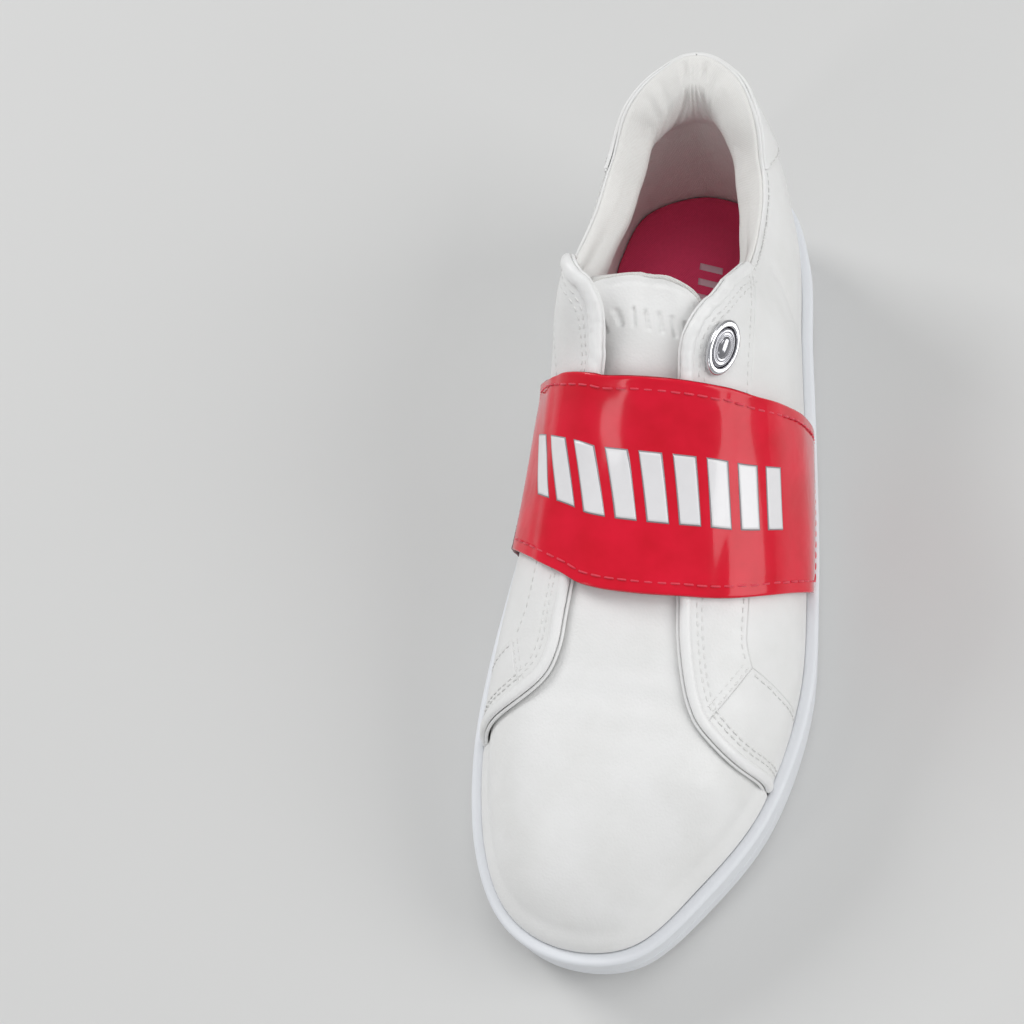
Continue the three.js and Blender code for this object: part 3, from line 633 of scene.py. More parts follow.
def sole_rubber():
    look = Look("sole_rubber", (0.78, 0.80, 0.83), 0.5, Subsurface_Weight=0.04)
    look.shader.inputs["Subsurface Radius"].default_value = (0.002, 0.002, 0.002)
    look.tint(look.noise(20, 3), (0.77, 0.79, 0.82), (0.81, 0.83, 0.86))
    look.rough(look.noise(7, 3), 0.42, 0.56)
    look.grain(0.5, 3, 0.025)
    look.grain(14, 2, 0.15)
    return look.material


def woven(name, light, dark, size, relief, sheen=0.3, fuzz=0.0):
    """Cloth with two crossing sets of yarns."""
    look = Look(name, light, 0.85, Sheen_Weight=sheen, Sheen_Roughness=0.5)
    yarns = look.math("MULTIPLY", look.waves(size, (0.3, 0.2, 0.7), 0.6),
                      look.waves(size, (0.2, 0.5, 0.7), 0.6, "Y"))
    cloth = look.math("ADD", yarns, look.math("MULTIPLY", look.noise(size * 2.2, 2), 0.7))
    look.tint(look.ranged(cloth, 0.2, 1.1, 0, 1), dark, light)
    look.grain(7, 3, 0.25)
    look.bumped(cloth, relief)
    if fuzz:
        look.grain(0.25, 3, fuzz)
    return look.material


def piping_white():
    look = Look("piping_white", (0.86, 0.86, 0.85), 0.38, Sheen_Weight=0.15, Coat_Weight=0.15,
                Coat_Roughness=0.35)
    look.tint(look.noise(6, 2), (0.83, 0.83, 0.82), (0.88, 0.88, 0.87))
    look.bumped(look.waves(0.5, (0.6, 0.3, 0.8), 0.4), 0.03)
    look.grain(3, 2, 0.12)
    return look.material


def red_patent():
    look = Look("red_patent", (0.72, 0.002, 0.022), 0.3, Coat_Weight=1.0, Coat_Roughness=0.1,
                Coat_IOR=1.34, Specular_IOR_Level=0.1)
    look.tint(look.ranged(look.noise(12, 3), 0.35, 0.65, 0, 1), (0.66, 0.001, 0.018), (0.76, 0.003, 0.028))
    look.bumped(look.noise(14, 2, 0.4), 0.5)
    look.grain(1.1, 2, 0.02)
    return look.material


def red_felt():
    look = Look("red_backing", (0.62, 0.006, 0.03), 0.95, Sheen_Weight=0.3, Sheen_Roughness=0.5)
    look.tint(look.noise(0.6, 3), (0.5, 0.003, 0.02), (0.74, 0.015, 0.045))
    look.grain(0.35, 4, 0.2)
    return look.material


def gore_elastic():
    look = Look("gore_elastic", (0.13, 0.004, 0.012), 0.85, Sheen_Weight=0.3)
    ribs = look.waves(1.2, (0, 0, 0.05), 0.2, "Y")
    look.tint(ribs, (0.07, 0.003, 0.008), (0.2, 0.008, 0.02))
    look.bumped(ribs, 0.25)
    look.grain(0.4, 3, 0.08)
    return look.material


def stud_metal(name, color, roughness):
    look = Look(name, color, roughness, Metallic=1.0)
    look.rough(look.noise(2, 4), roughness * 0.7, roughness * 1.5)
    look.grain(0.3, 2, 0.006)
    return look.material


def plain_stuff(name, color, size, relief):
    """Board, foam and stiffener: grain or pores of one size."""
    look = Look(name, color, 0.9)
    look.tint(look.noise(size * 3, 3), tuple(0.9 * c for c in color), color)
    look.bumped(look.cells(size), relief)
    return look.material


def thread(name, color):
    look = Look(name, color, 0.5, Sheen_Weight=0.2)
    look.tint(look.noise(0.5, 2), tuple(0.85 * c for c in color), color)
    look.bumped(look.waves(0.25, (0.7, 0.4, 0.8)), 0.05)
    return look.material


def print_paint(name, color):
    look = Look(name, color, 0.3, Coat_Weight=0.6, Coat_Roughness=0.1)
    look.tint(look.noise(3, 3), tuple(0.94 * c for c in color), color)
    look.grain(1.1, 2, 0.02)
    return look.material


# A finish is a material, and the record's slot that it belongs to.
LEATHER = white_leather(), "white_leather"
RUBBER = sole_rubber(), "sole_rubber"
PIPING = piping_white(), "piping_white"
LINING_CLOTH = woven("lining_cloth", (0.86, 0.855, 0.83), (0.79, 0.78, 0.75), 0.42, 0.05,
                     fuzz=0.06), "lining_cloth"
BINDING_CLOTH = woven("binding_cloth", (0.86, 0.855, 0.83), (0.76, 0.745, 0.71), 0.5, 0.15,
                      sheen=0.5, fuzz=0.14), "lining_cloth"
FOOTBED_CLOTH = woven("footbed_cloth", (0.90, 0.055, 0.17), (0.74, 0.04, 0.125), 0.5, 0.06), "footbed_cloth"
PATENT = red_patent(), "red_patent"
FELT = red_felt(), "red_backing"
ELASTIC = gore_elastic(), "gore_elastic"
CHROME = stud_metal("stud_metal", (0.66, 0.66, 0.68), 0.13), "stud_metal"
# The stud's face: the rim's chrome made darker, a painted dark reflection that stands in for the dark
# surroundings the face mirrors.
SHADED_FACE_CHROME = stud_metal("stud_face_metal_painted_dark_reflection", (0.36, 0.36, 0.38), 0.12), "stud_metal"
STIFFENER = plain_stuff("stiffener", (0.58, 0.54, 0.46), 0.5, 0.04), "stiffener"
FOAM = plain_stuff("padding_foam", (0.80, 0.72, 0.55), 0.5, 0.25), "padding_foam"
FOOTBED_FOAM = plain_stuff("footbed_foam", (0.78, 0.70, 0.56), 0.5, 0.2), "footbed_foam"
WHITE_THREAD = thread("thread_white", (0.86, 0.86, 0.84)), "piping_white"
RED_THREAD = thread("thread_red", (0.86, 0.04, 0.085)), "red_patent"
PRINT_WHITE = print_paint("print_white", (0.84, 0.83, 0.84)), "red_patent"
PRINT_GREY = print_paint("print_grey", (0.30, 0.27, 0.29)), "red_patent"
FOOTBED_PRINT = print_paint("footbed_print_paint", (0.72, 0.45, 0.52)), "footbed_cloth"

# ---------------------------------------------------------------- heights above the last
QUARTER = (0.0, 1.3)
UNDER = -1.2                 # just under the quarters
VAMP = (-2.5, -1.2)
TOE_PUFF = (-3.5, -2.8)
VAMP_LINING = (-4.6, -3.8)
QUARTER_LINING = (-2.3, -1.5)
COUNTER = (-2.5, -1.2)
HEEL_TAB = (1.3, 2.35)
TONGUE_COVER = (-4.3, -3.0)
TONGUE_FOAM = (-8.1, -4.6)
TONGUE_LINING = (-9.2, -8.4)
BACKING = (2.6, 3.25)
STRAP = (3.3, 4.4)
STUD_BASE = 1.6

# ---------------------------------------------------------------- sole
WALL = 2.9
LIP_REACH = 3.75             # the wall's lip leans in against the upper
LIP_ROUND, SHOULDER = 0.9, 1.5
FLOOR = 5.0
GROOVE_DROP = 11.0           # from the rim down to the middle of the line round the wall
GROOVE = [(0, .7), (.12, .45), (.55, .2), (.7, 0), (.55, -.2), (.12, -.45), (0, -.7)]
FOOT_ROUND, FOOT_RISE = 2.6, 2.8
TREAD_INSET, TREAD_DEPTH, TREAD_PITCH = 6, 1.1, 6.5
HALF_ROUND = 330             # about the way round the sole from the heel to the toe
FOOTBED_INSET, FOOTBED_TOP = 7.7, 6.5    # inside the sole's edge, and above the midsole insert
DISH_DEPTH = 2.2
FOOTBED_BARS = 4


def perimeter(step):
    """Places round the shoe, evenly spread, from the back of the heel round by the toe."""
    half = np.linspace(HEEL_BACK, TOE_TIP, int(HALF_ROUND / step))
    side = np.concatenate([np.full(len(half), LATERAL), np.full(len(half) - 2, MEDIAL)])
    return side, np.concatenate([half, half[1:-1][::-1]])


def tread(x, y):
    """Depth of the wavy grooves under the sole."""
    wave = y + 3.2 * np.sin(2 * math.pi * x / 22)
    return TREAD_DEPTH * smooth((np.cos(2 * math.pi * wave / TREAD_PITCH) - 0.45) / 0.3)


def cupsole():
    """One rubber piece: rings from the tread's middle, up round the wall and down to the middle inside."""
    side, along = perimeter(1.5)
    x, y, dx, dy, reach = spoke(side, along)

    def ring(inset, height, share=1):
        out = (reach - inset) * share
        px, py = x + dx * out, y + dy * out
        return np.stack([px, py, height(px, py)], -1)

    def over(rise):
        return lambda px, py: toe_lift(py) + rise

    def under(drop):
        return lambda px, py: rim(py) - 0.3 - drop

    def wall(s):
        """Height at a share of the way from the foot's rounding up to the groove."""
        return lambda px, py: toe_lift(py) + FOOT_RISE + s * (
            rim(py) - 0.3 - GROOVE_DROP - GROOVE[0][1] - toe_lift(py) - FOOT_RISE)

    def quarter_turn(count):
        return np.linspace(0.2, math.pi / 2, count)

    def ground(px, py):
        return toe_lift(py) + tread(px, py)

    rings = [ring(TREAD_INSET, ground, share) for share in np.linspace(0, 1, 34)]
    rings += [ring(5.2, over(0.5)), ring(4.6, over(0)), ring(FOOT_ROUND, over(0))]
    rings += [ring(FOOT_ROUND - FOOT_ROUND * math.sin(a), over(FOOT_RISE * (1 - math.cos(a))))
              for a in quarter_turn(7)]
    rings += [ring(0.15 * math.sin(math.pi * s), wall(s)) for s in (0.2, 0.4, 0.6, 0.8, 0.93)]
    rings += [ring(inset, under(GROOVE_DROP + drop)) for inset, drop in GROOVE]
    rings += [ring(0.25 * math.sin(math.pi * s), under(GROOVE_DROP - 0.7 - s * (GROOVE_DROP - 2.2)))
              for s in (0.1, 0.25, 0.45, 0.65, 0.85, 1)]
    rings += [ring(SHOULDER - SHOULDER * math.cos(a), under(SHOULDER - SHOULDER * math.sin(a)))
              for a in quarter_turn(6)]
    rings += [ring(LIP_REACH - LIP_ROUND + LIP_ROUND * math.sin(a),
                   under(LIP_ROUND - LIP_ROUND * math.cos(a))) for a in quarter_turn(5)]
    rings += [ring(LIP_REACH, under(2.2)), ring(WALL, under(3.6)), ring(WALL, under(7))]
    rings += [ring(WALL, over(FLOOR), share) for share in (1, 0.6, 0)]
    add_disc("cupsole_rubber", RUBBER, np.stack(rings, 1), "cupsole")


def insole_inset(along):
    """How far the footbed stops inside the sole's edge: clear of the lining all round."""
    return FOOTBED_INSET + 2.3 * smooth((-62 - along) / 8) + 1.3 * smooth((along - 44) / 4)


def insole(name, finish, stands_for, low, high, extra=0.0):
    """A layer of the footbed, between two heights above the midsole insert."""
    side, along = perimeter(2.0)
    x, y, dx, dy, reach = spoke(side, along)
    inset = insole_inset(along) + extra

    def ring(share, rise, pull=0.0):
        out = (reach - inset - pull) * share
        px, py = x + dx * out, y + dy * out
        return np.stack([px, py, midsole_top(py) + toe_lift(py) + rise + footbed_dish(py, share)], -1)

    shares = np.linspace(0, 1, 26)
    thick = high - low
    rings = [ring(s, low) for s in shares] + [ring(1, low + thick * 0.5, -0.15)]
    rings += [ring(s, high, 0.25 if s == 1 else 0) for s in shares[::-1]]
    return add_disc(name, finish, np.stack(rings, 1), stands_for)


def footbed_dish(py, share):
    """The footbed rises towards its edge at the heel and the arch."""
    return DISH_DEPTH * smooth((py + 30) / 60) * smooth((share - 0.62) / 0.38)


def footbed_stripes():
    """Short pale bars printed on the footbed, across its middle."""
    store = []
    for k in range(FOOTBED_BARS):
        s, t = np.linspace(-0.5, 0.5, 6)[:, None], np.linspace(-0.5, 0.5, 10)[None]
        px = 5.5 + 8.0 * t + 0 * s
        py = 98 - 6.0 * k + 2.6 * s - 2 * t
        level = midsole_top(py) + toe_lift(py) + FOOTBED_TOP
        x, reach = spine_x(py), spoke(np.where(px > spine_x(py), LATERAL, MEDIAL), py)[4]
        level = level + footbed_dish(py, np.abs(px - x) / (reach - insole_inset(py)))
        top, bottom = (np.stack([px, py, level + rise], -1) for rise in (0.07, -0.1))
        store.append(loft(np.concatenate([top, bottom[:, ::-1]], 1)))
    add_mesh("footbed_print", "shoe", FOOTBED_PRINT, joined(store))


def footbed():
    footbed_stripes()
    bed = insole("footbed_cushion", FOOTBED_FOAM, "footbed_foam", 1.8, 5.3, extra=0.3)
    insole("footbed_top", FOOTBED_CLOTH, "footbed_cover", 5.35, FOOTBED_TOP)


# ---------------------------------------------------------------- pattern lines
def rim_line(side, start, end):
    return flat(side, np.linspace(start, end, 60), 0)


def on_edge(side, along):
    """Flat places on the collar's edge."""
    along = np.atleast_1d(along)
    return flat(side, along, collar_up(side, along))


def rise_to_collar(side, along, count):
    """A line straight up the last, from the rim to the collar's edge."""
    return Line(flat(side, along, np.linspace(0, 1, count) * collar_up(side, along)), exact=True)


def chain(*parts):
    return Line(np.concatenate(parts))


VAMP_EDGE = {
    LATERAL: [(-70, 0), (-69, .33), (-64, .52), (-57, .62), (-47, .68), (-36, .705), (-27, .71)],
    MEDIAL: [(-66, 0), (-63.5, .22), (-59, .46), (-53, .62), (-45, .68), (-36, .7), (-27, .71)],
}
# Front edge of each facing, with its white piping, from the rim to the collar.
PIPED = {
    LATERAL: [(-79, 0), (-77.3, .365), (-71.7, .577), (-64.5, .677), (-51.3, .742), (-36.7, .771),
              (-10, .8), (16.9, .835), (24.7, .84), (30.1, .817), (35.6, .776), (40.2, .735)],
    MEDIAL: [(-74.5, 0), (-71.5, .251), (-67.1, .526), (-61.2, .702), (-53.4, .764), (-41.2, .772),
             (-10, .78), (18.1, .788), (24.3, .776), (33, .735), (38, .66), (42, .56)],
}
# The stitched line behind the facing, up to the collar.
BEHIND_FACING = {
    LATERAL: [(-51.9, .469), (-44.9, .517), (-33.9, .527), (-10, .55), (15, .565), (34, .57), (48, .58)],
    MEDIAL: [(-50, .47), (-43, .52), (-33, .54), (-10, .55), (12, .52), (28, .43), (44, .34)],
}
PATCH_FOOT = {LATERAL: -57.9, MEDIAL: -55}
PATCH_HEAD = {LATERAL: (-69, .612), MEDIAL: (-65.4, .6)}
FACING_TOP = 58 * STRETCH[1]        # where the facing ends on the collar
TOP_CORNER = 8                      # the piped edge's points from here on run along the facing's top


def first_above_head(side):
    return next(i for i, (along, _) in enumerate(PIPED[side]) if along > PATCH_HEAD[side][0])


def piped_line(side):
    return chain(places(side, PIPED[side]), on_edge(side, FACING_TOP))


def throat(along, lateral_up, medial_up):
    """A line across the instep, from the lateral side to the medial side."""
    thirds = (0, 1 / 3, 2 / 3, 1)
    lateral = places(LATERAL, [(along, lateral_up + (1 - lateral_up) * w) for w in thirds[:3]])
    medial = places(MEDIAL, [(along, 1 + (medial_up - 1) * w) for w in thirds])
    return chain(lateral, medial)


def vamp_patch(throat_cut=0.0):
    lateral_end, medial_end = (VAMP_EDGE[side][0][0] * STRETCH[1] for side, _ in SIDES)
    toe = [rim_line(LATERAL, lateral_end, TOE_TIP), rim_line(MEDIAL, TOE_TIP, medial_end)[1:]]
    lateral, medial = (chain(places(side, VAMP_EDGE[side])) for side, _ in SIDES)
    return Patch(Line(np.concatenate(toe), count=900), throat(-27, .71, .71), lateral, medial,
                 (0, throat_cut, 0, 0))


def vamp_relief(grid):
    """Flares the lasting edge out to the wall, and gives the flex zone its soft creases."""
    side, along, _ = unflat(grid)
    x, y, z = np.moveaxis(surface(grid), -1, 0)
    rise = z - rim(y)
    facing = np.where(side > 0, PIPED[LATERAL][0][0], PIPED[MEDIAL][0][0]) * STRETCH[1]
    flare = 2.75 * (1 - smooth(rise / 8)) * smooth((facing + 0.5 - along) / 2.4)
    crease = sum(depth * bump(y + 0.0012 * (x + 9) ** 2 * bend, at, width) for at, width, depth, bend in (
        (-66, 3.2, -0.45, 1), (-58, 2.6, -0.3, -1), (-74, 3.5, -0.22, 1.4)))
    crease = crease * bump(x, -2, 26)
    undulation = 0.22 * np.sin(x / 9 + 0.8) * np.sin(y / 13)
    return flare + crease + undulation * smooth(rise / 14)


def vamp():
    patch, lining = vamp_patch(), vamp_patch(throat_cut=7)
    u, v = np.linspace(0.31, 0.69, 60), np.linspace(0, 0.4, 24)
    toe = patch.at(u[:, None], v[None])
    add_mesh("vamp_leather", "shoe", LEATHER,
             shell(patch.grid(1.25), VAMP, hemmed=True, relief=vamp_relief), "vamp")
    add_mesh("vamp_lining_cloth", "shoe", LINING_CLOTH, shell(lining.grid(2.5), VAMP_LINING, hemmed=True),
             "vamp_lining")
    add_mesh("toe_stiffener", "shoe", STIFFENER, shell(toe, TOE_PUFF, hemmed=True), "toe_puff")


# ---------------------------------------------------------------- quarters
def side_relief(side):
    """Soft hollows and folds of the quarter, with one long crease down its side."""
    def relief(grid):
        _, along, up = unflat(grid)
        crease = -0.55 * bump(along - 26 * (up - 0.3) - 62, 0, 3.2) * smooth((up - 0.05) / 0.2)
        crease = crease * smooth((0.62 - up) / 0.2)
        swell = 0.28 * np.sin(along / 11 + side) * np.sin(up * 7 + 1)
        return (crease if side > 0 else crease * 0.6) + swell * smooth(up / 0.15)
    return relief


def side_pieces(side, word):
    edge = places(side, PIPED[side])
    head = places(side, [PATCH_HEAD[side]])
    corner = places(side, BEHIND_FACING[side][:1])
    above_head = first_above_head(side)
    foot = PATCH_FOOT[side]
    patch_back = chain(places(side, [(foot, 0), (foot + 2, .25)]), corner)
    corner_seam = Line(np.concatenate([head, corner]))
    facing_back = chain(places(side, BEHIND_FACING[side]), on_edge(side, FACING_TOP))
    piped = piped_line(side)
    inward = -side                   # a line's left is the toe's side on the lateral face
    furrows = {
        "piping": [piped.beside(inward * 3.1), piped.beside(inward * 4.5)],
        "facing": [facing_back.beside(-inward * 1.5)],
        "corner": [corner_seam.beside(-inward * 0.9), corner_seam.beside(-inward * 2.7)],
        "patch": [patch_back.beside(-inward * 1.4)],
    }
    patch = Patch(Line(rim_line(side, PIPED[side][0][0] * STRETCH[1], foot * STRETCH[1])), corner_seam,
                  chain(edge[:above_head], head), patch_back)
    layer = shell(patch.grid(), QUARTER, hemmed=True, round_at=(0, 1, 1, 1), rounding=0.35,
                  relief=lambda g: np.full(g.shape[:2], 0.1), furrows=furrows["piping"] + furrows["patch"])
    add_mesh(f"side_patch_{word}_leather", "shoe", LEATHER, layer, f"side_patch_{word}")

    facing = Patch(corner_seam, chain(edge[TOP_CORNER - 1:], on_edge(side, FACING_TOP)),
                   chain(head, edge[above_head:TOP_CORNER]), facing_back, (-0.3, 0, 0, -0.5))
    layer = shell(facing.grid(), (QUARTER[0] + 0.1, QUARTER[1] + 0.3), rounding=0.45,
                  furrows=furrows["piping"] + furrows["facing"] + furrows["corner"])
    add_mesh(f"facing_{word}_leather", "shoe", LEATHER, layer, f"facing_{word}")

    heel = np.linspace(FACING_TOP, HEEL_BACK, 50)
    collar = Line(on_edge(side, heel), count=900)
    quarter = Patch(
        Line(rim_line(side, foot * STRETCH[1], HEEL_BACK), count=900),
        Line(np.concatenate([facing_back.at(np.linspace(0, 1, 200)), on_edge(side, heel[1:])]), exact=True),
        patch_back, rise_to_collar(side, HEEL_BACK, 30), (0, 0, 0, 0.15))
    topline = collar.part(0.0, 0.985).beside(-inward * -1.7)
    layer = shell(quarter.grid(), QUARTER, hemmed=True, round_at=(0, 1, 1, 1),
                  relief=side_relief(side), furrows=[topline])
    add_mesh(f"quarter_{word}_leather", "shoe", LEATHER, layer, f"quarter_{word}")

    for place, lines, height in (
            ("piping", [line.part(0.012, 0.985) for line in furrows["piping"]], 0.04),
            ("facing", [furrows["facing"][0].part(0.02, 0.985)], 0.06),
            ("corner", [line.part(0.12, 0.97) for line in furrows["corner"]], 0.06),
            ("patch", [furrows["patch"][0].part(0.06, 0.96)], 0.02),
            ("topline", [topline], -0.02)):
        stitches(f"stitches_{place}_{word}", "shoe", WHITE_THREAD, lines, QUARTER[1] + height)
    piping(side, word, piped)
    side_lining(side, word)


def oval(across, up, centre_across, centre_up, count):
    a = np.linspace(0, 2 * math.pi, count, endpoint=False)
    return np.stack([centre_across + across * np.cos(a), centre_up + up * np.sin(a)], -1)


def piping(side, word, line):
    """A satin roll over the facing's front edge, and a thin bead beside it. Above the strap the roll is
    fuller and puckered by its stitches."""
    shares = np.linspace(0.004, 0.998, 520)
    roll = oval(1.7, 1.15, 0.15 * side, 1.0, 16)
    puckers = rng.normal(0, 1, (len(shares) // 4 + 2, len(roll)))
    step = np.arange(len(shares)) / 4
    grain = np.stack([np.interp(step, np.arange(len(puckers)), column) for column in puckers.T], 1)
    full = smooth((shares - 0.58) / 0.1)[:, None]
    swell = 1 + (0.3 if side == MEDIAL else 0.08) * full + (0.008 + 0.03 * full) * grain
    bead = oval(0.5, 0.55, 0, -0.05, 8)
    add_mesh(f"piping_{word}_roll", "shoe", PIPING, sweep(line, roll, 0, shares, swell=swell),
             f"piping_{word}")
    add_mesh(f"piping_{word}_bead", "shoe", PIPING, sweep(line, bead, 2.15 * side, shares))


LINING_EDGE = {
    LATERAL: [(-24, .69), (0, .7), (14, .74), (24, .79), (32, .765), (39, .7)],
    MEDIAL: [(-24, .69), (0, .7), (14, .71), (22, .7), (30, .65), (37, .54)],
}


def side_lining(side, word):
    front = [(along + 1.2, up * 0.985) for along, up in VAMP_EDGE[side][:6]]
    end = 46 * STRETCH[1]
    patch = Patch(Line(rim_line(side, front[0][0] * STRETCH[1], end)),
                  chain(places(side, front[5:] + LINING_EDGE[side]), on_edge(side, end)),
                  chain(places(side, front)), rise_to_collar(side, end, 20), (0, 0, 0, 0.4))
    add_mesh(f"quarter_lining_{word}_cloth", "shoe", LINING_CLOTH,
             shell(patch.grid(2.2), QUARTER_LINING, hemmed=True), f"quarter_lining_{word}")


# ---------------------------------------------------------------- collar and heel
COLLAR_PAD = 5.6
COLLAR_START = 47.5 * STRETCH[1]
TAPER = 14 * STRETCH[1]
PAD_SHAPE = [(.5, .12), (.55, .3), (.6, .55), (.65, .74), (.7, .87), (.75, .96), (.8, 1), (.85, 1.0),
             (.9, .97), (.935, .9), (.965, .76)]


PAD_BELOW = (0, .1, .2, .3, .4, .46)    # the lining's shares below the pad
LIP = 3                                 # its rows that turn over the edge and still show
EDGE_TURN = [(1.016, -1.5), (1.018, -0.9), (1.016, -0.3), (1.01, 0.15), (1.003, 0.3), (.999, 0.1),
             (.996, -0.15), (.99, -0.5), (.985, UNDER)]
WRINKLES = [(-1.5, 1.0, 0.5, 0), (2.2, 0.9, 0.4, 0.2), (8.5, 1.3, 1.3, 0.9), (-9, 1.4, 1.5, -1),
            (-5, 0.9, 0.4, -0.4), (15, 2, 0.4, 1), (-24, 2.5, 0.6, -2), (-33, 2, 0.5, -2.5)]


def round_heel(start, count):
    """Places round the back of the shoe, from the lateral side to the medial side."""
    half = np.linspace(start, HEEL_BACK, count)
    side = np.concatenate([np.full(count, LATERAL), np.full(count - 1, MEDIAL)])
    return side, np.concatenate([half, half[:-1][::-1]])


def collar_layer(side, along, rows):
    """Loops of (share of the way up to the collar's edge, height above the last) round the heel."""
    loops = []
    for share, height in rows:
        p = flat(side, along, np.maximum(share, 0) * collar_up(side, along))
        loops.append(above(p, np.broadcast_to(height, along.shape)))
    return np.stack(loops, 1)


def pad_wrinkles(side, along, share):
    """Upright folds of the lining where it goes round the back of the heel."""
    run = side * (HEEL_BACK - along)
    folds = sum(depth * bump(run + lean * (share - 0.8) * 20, at, width)
                for at, width, depth, lean in WRINKLES)
    swell = 0.35 * np.sin(run / 6.5 + 1.2) + 0.15 * np.sin(run / 3.1)
    return (folds + swell) * smooth((share - 0.52) / 0.2)


def softened(loops, reach):
    """Loops averaged with their neighbours on both sides, so that a kink across them is rounded off."""
    offsets = np.arange(-2 * reach, 2 * reach + 1)
    weights = np.exp(-((offsets / reach) ** 2))
    padded = np.concatenate([
        2 * loops[:1] - loops[2 * reach:0:-1], loops, 2 * loops[-1:] - loops[-2:-2 * reach - 2:-1]])
    total = sum(w * padded[k:k + len(loops)] for k, w in enumerate(weights))
    return total / weights.sum()


def collar():
    side, along = round_heel(COLLAR_START, 190)
    pad = COLLAR_PAD * (0.35 + 0.65 * smooth((along - COLLAR_START) / TAPER))

    def foam_in(share):
        return UNDER - pad * share - 0.4

    rows = [(v, UNDER - 0.1) for v, _ in PAD_SHAPE[::2]] + [(v, foam_in(w)) for v, w in PAD_SHAPE[::-1]]
    filling = loft(collar_layer(side, along, rows)[::2])
    foam = add_mesh("collar_padding", "shoe", FOAM, filling, "collar_foam")

    low = COUNTER[0] - 0.3
    shares, fill = np.array(PAD_SHAPE).T
    roll = foam_in(0) - (pad + 2.6 * smooth((along - 62) / 40)) * fill[:, None]
    rows = [(v, low - 0.8) for v in PAD_BELOW]
    rows += [(v, height - 1.3) for v, height in zip(shares, roll)]
    rows += [(.985, roll[-1] + 1.2), (1.0, roll[-1] + 2.6), (1.01, roll[-1] * 0.4 - 0.9), *EDGE_TURN]
    rows += [(v, height - 0.5) for v, height in zip(shares, roll)][::-1]
    rows += [(v, low) for v in PAD_BELOW[::-1]]
    loops = softened(collar_layer(side, along, rows), 4)
    across = np.array([share for share, _ in rows])
    exposed = np.arange(len(rows)) < len(PAD_BELOW) + len(PAD_SHAPE) + LIP
    folds = pad_wrinkles(side[:, None], along[:, None], across[None]) * exposed
    inward = softened(unit(np.roll(loops, -1, axis=0) - np.roll(loops, 1, axis=0)), 2)
    turn = unit(np.cross(inward, np.roll(loops, -1, axis=1) - np.roll(loops, 1, axis=1)))
    core = above(flat(side, along, 0.84 * collar_up(side, along)), UNDER - pad / 2)
    towards = np.sign((turn * (core[:, None] - loops)).sum(-1, keepdims=True))
    loops = loops + turn * towards * folds[..., None]
    roll = loft(hemmed_both(loops))
    lining = add_mesh("collar_lining_roll", "shoe", LINING_CLOTH, roll, "collar_lining")


def heel_counter():
    side, along = round_heel(78 * STRETCH[1], 60)
    shares = (0, .07, .15, .22, .3, .37, .44)
    rows = [(v, COUNTER[1] - 0.05) for v in shares] + [(v, COUNTER[0]) for v in shares[::-1]]
    loops = hemmed_both(collar_layer(side, along, rows))
    add_mesh("heel_stiffener", "shoe", STIFFENER, loft(loops), "heel_counter")


def heel_patch():
    """The leather tab sewn over the back of the heel, wider at its top."""
    top, foot = 98 * STRETCH[1], 127 * STRETCH[1]
    low_share, high_share = 0.4, 0.99

    def tab_place(w, share):
        start = foot + (top - foot) * (share - low_share) / (high_share - low_share)
        along = HEEL_BACK - np.abs(w) * (HEEL_BACK - start)
        side = np.where(w < 0, LATERAL, MEDIAL)
        return flat(side, along, share * collar_up(side, along))

    grid = tab_place(spaced(120, 1.3)[:, None] * 2 - 1,
                     low_share + (high_share - low_share) * spaced(36, 1.2)[None])

    edge = 0.97
    across, up = np.linspace(-edge, edge, 160), np.linspace(low_share + 0.022, high_share - 0.06, 60)
    seams = [Line(tab_place(w, share), exact=True) for w, share in (
        (across, low_share + 0.025), (-edge, up), (edge, up))]
    add_mesh("heel_patch_leather", "shoe", LEATHER, shell(grid, HEEL_TAB, rounding=0.6, furrows=seams),
             "heel_patch")
    stitches("stitches_heel_patch", "shoe", WHITE_THREAD, seams, HEEL_TAB[1] - 0.04)


# ---------------------------------------------------------------- tongue
TONGUE_FOOT = -35
BARS_ACROSS = 0.52 + 0.125 * np.arange(-3, 4)
BARS_UP = 0.835
BAR_DEPTH = 0.6


def tongue_top():
    """The tongue's upper edge, from the lateral side to the medial side."""
    return chain(places(LATERAL, [(38, .775), (40.4, .825), (41.4, .91)]),
                 places(MEDIAL, [(42.5, .96), (43.4, .88), (42.8, .81), (38, .69)]))


def tongue_lift(grid):
    """The tongue lies flatter than the last near its top."""
    x, y, _ = np.moveaxis(surface(grid), -1, 0)
    return -4.4 * smooth((y - 16) / 26) * bump(x + 3, 0, 9)


def tongue_patch():
    return Patch(
        throat(TONGUE_FOOT, .8, .78),
        tongue_top(),
        chain(places(LATERAL, [(TONGUE_FOOT, .8), (-10, .79), (20, .785), (38, .775)])),
        chain(places(MEDIAL, [(TONGUE_FOOT, .78), (-10, .76), (20, .72), (38, .69)])))


def pressed_bars(patch):
    """A row of short bars pressed into the tongue near its top."""
    slant = np.array([-1, 1])
    bars = [Line(patch.at(u + 0.02 * slant, BARS_UP + 0.028 * slant)) for u in BARS_ACROSS]

    def relief(grid):
        return -BAR_DEPTH * (1 - smooth((nearest(surface(grid), bars) - 0.55) / 0.35))
    return relief


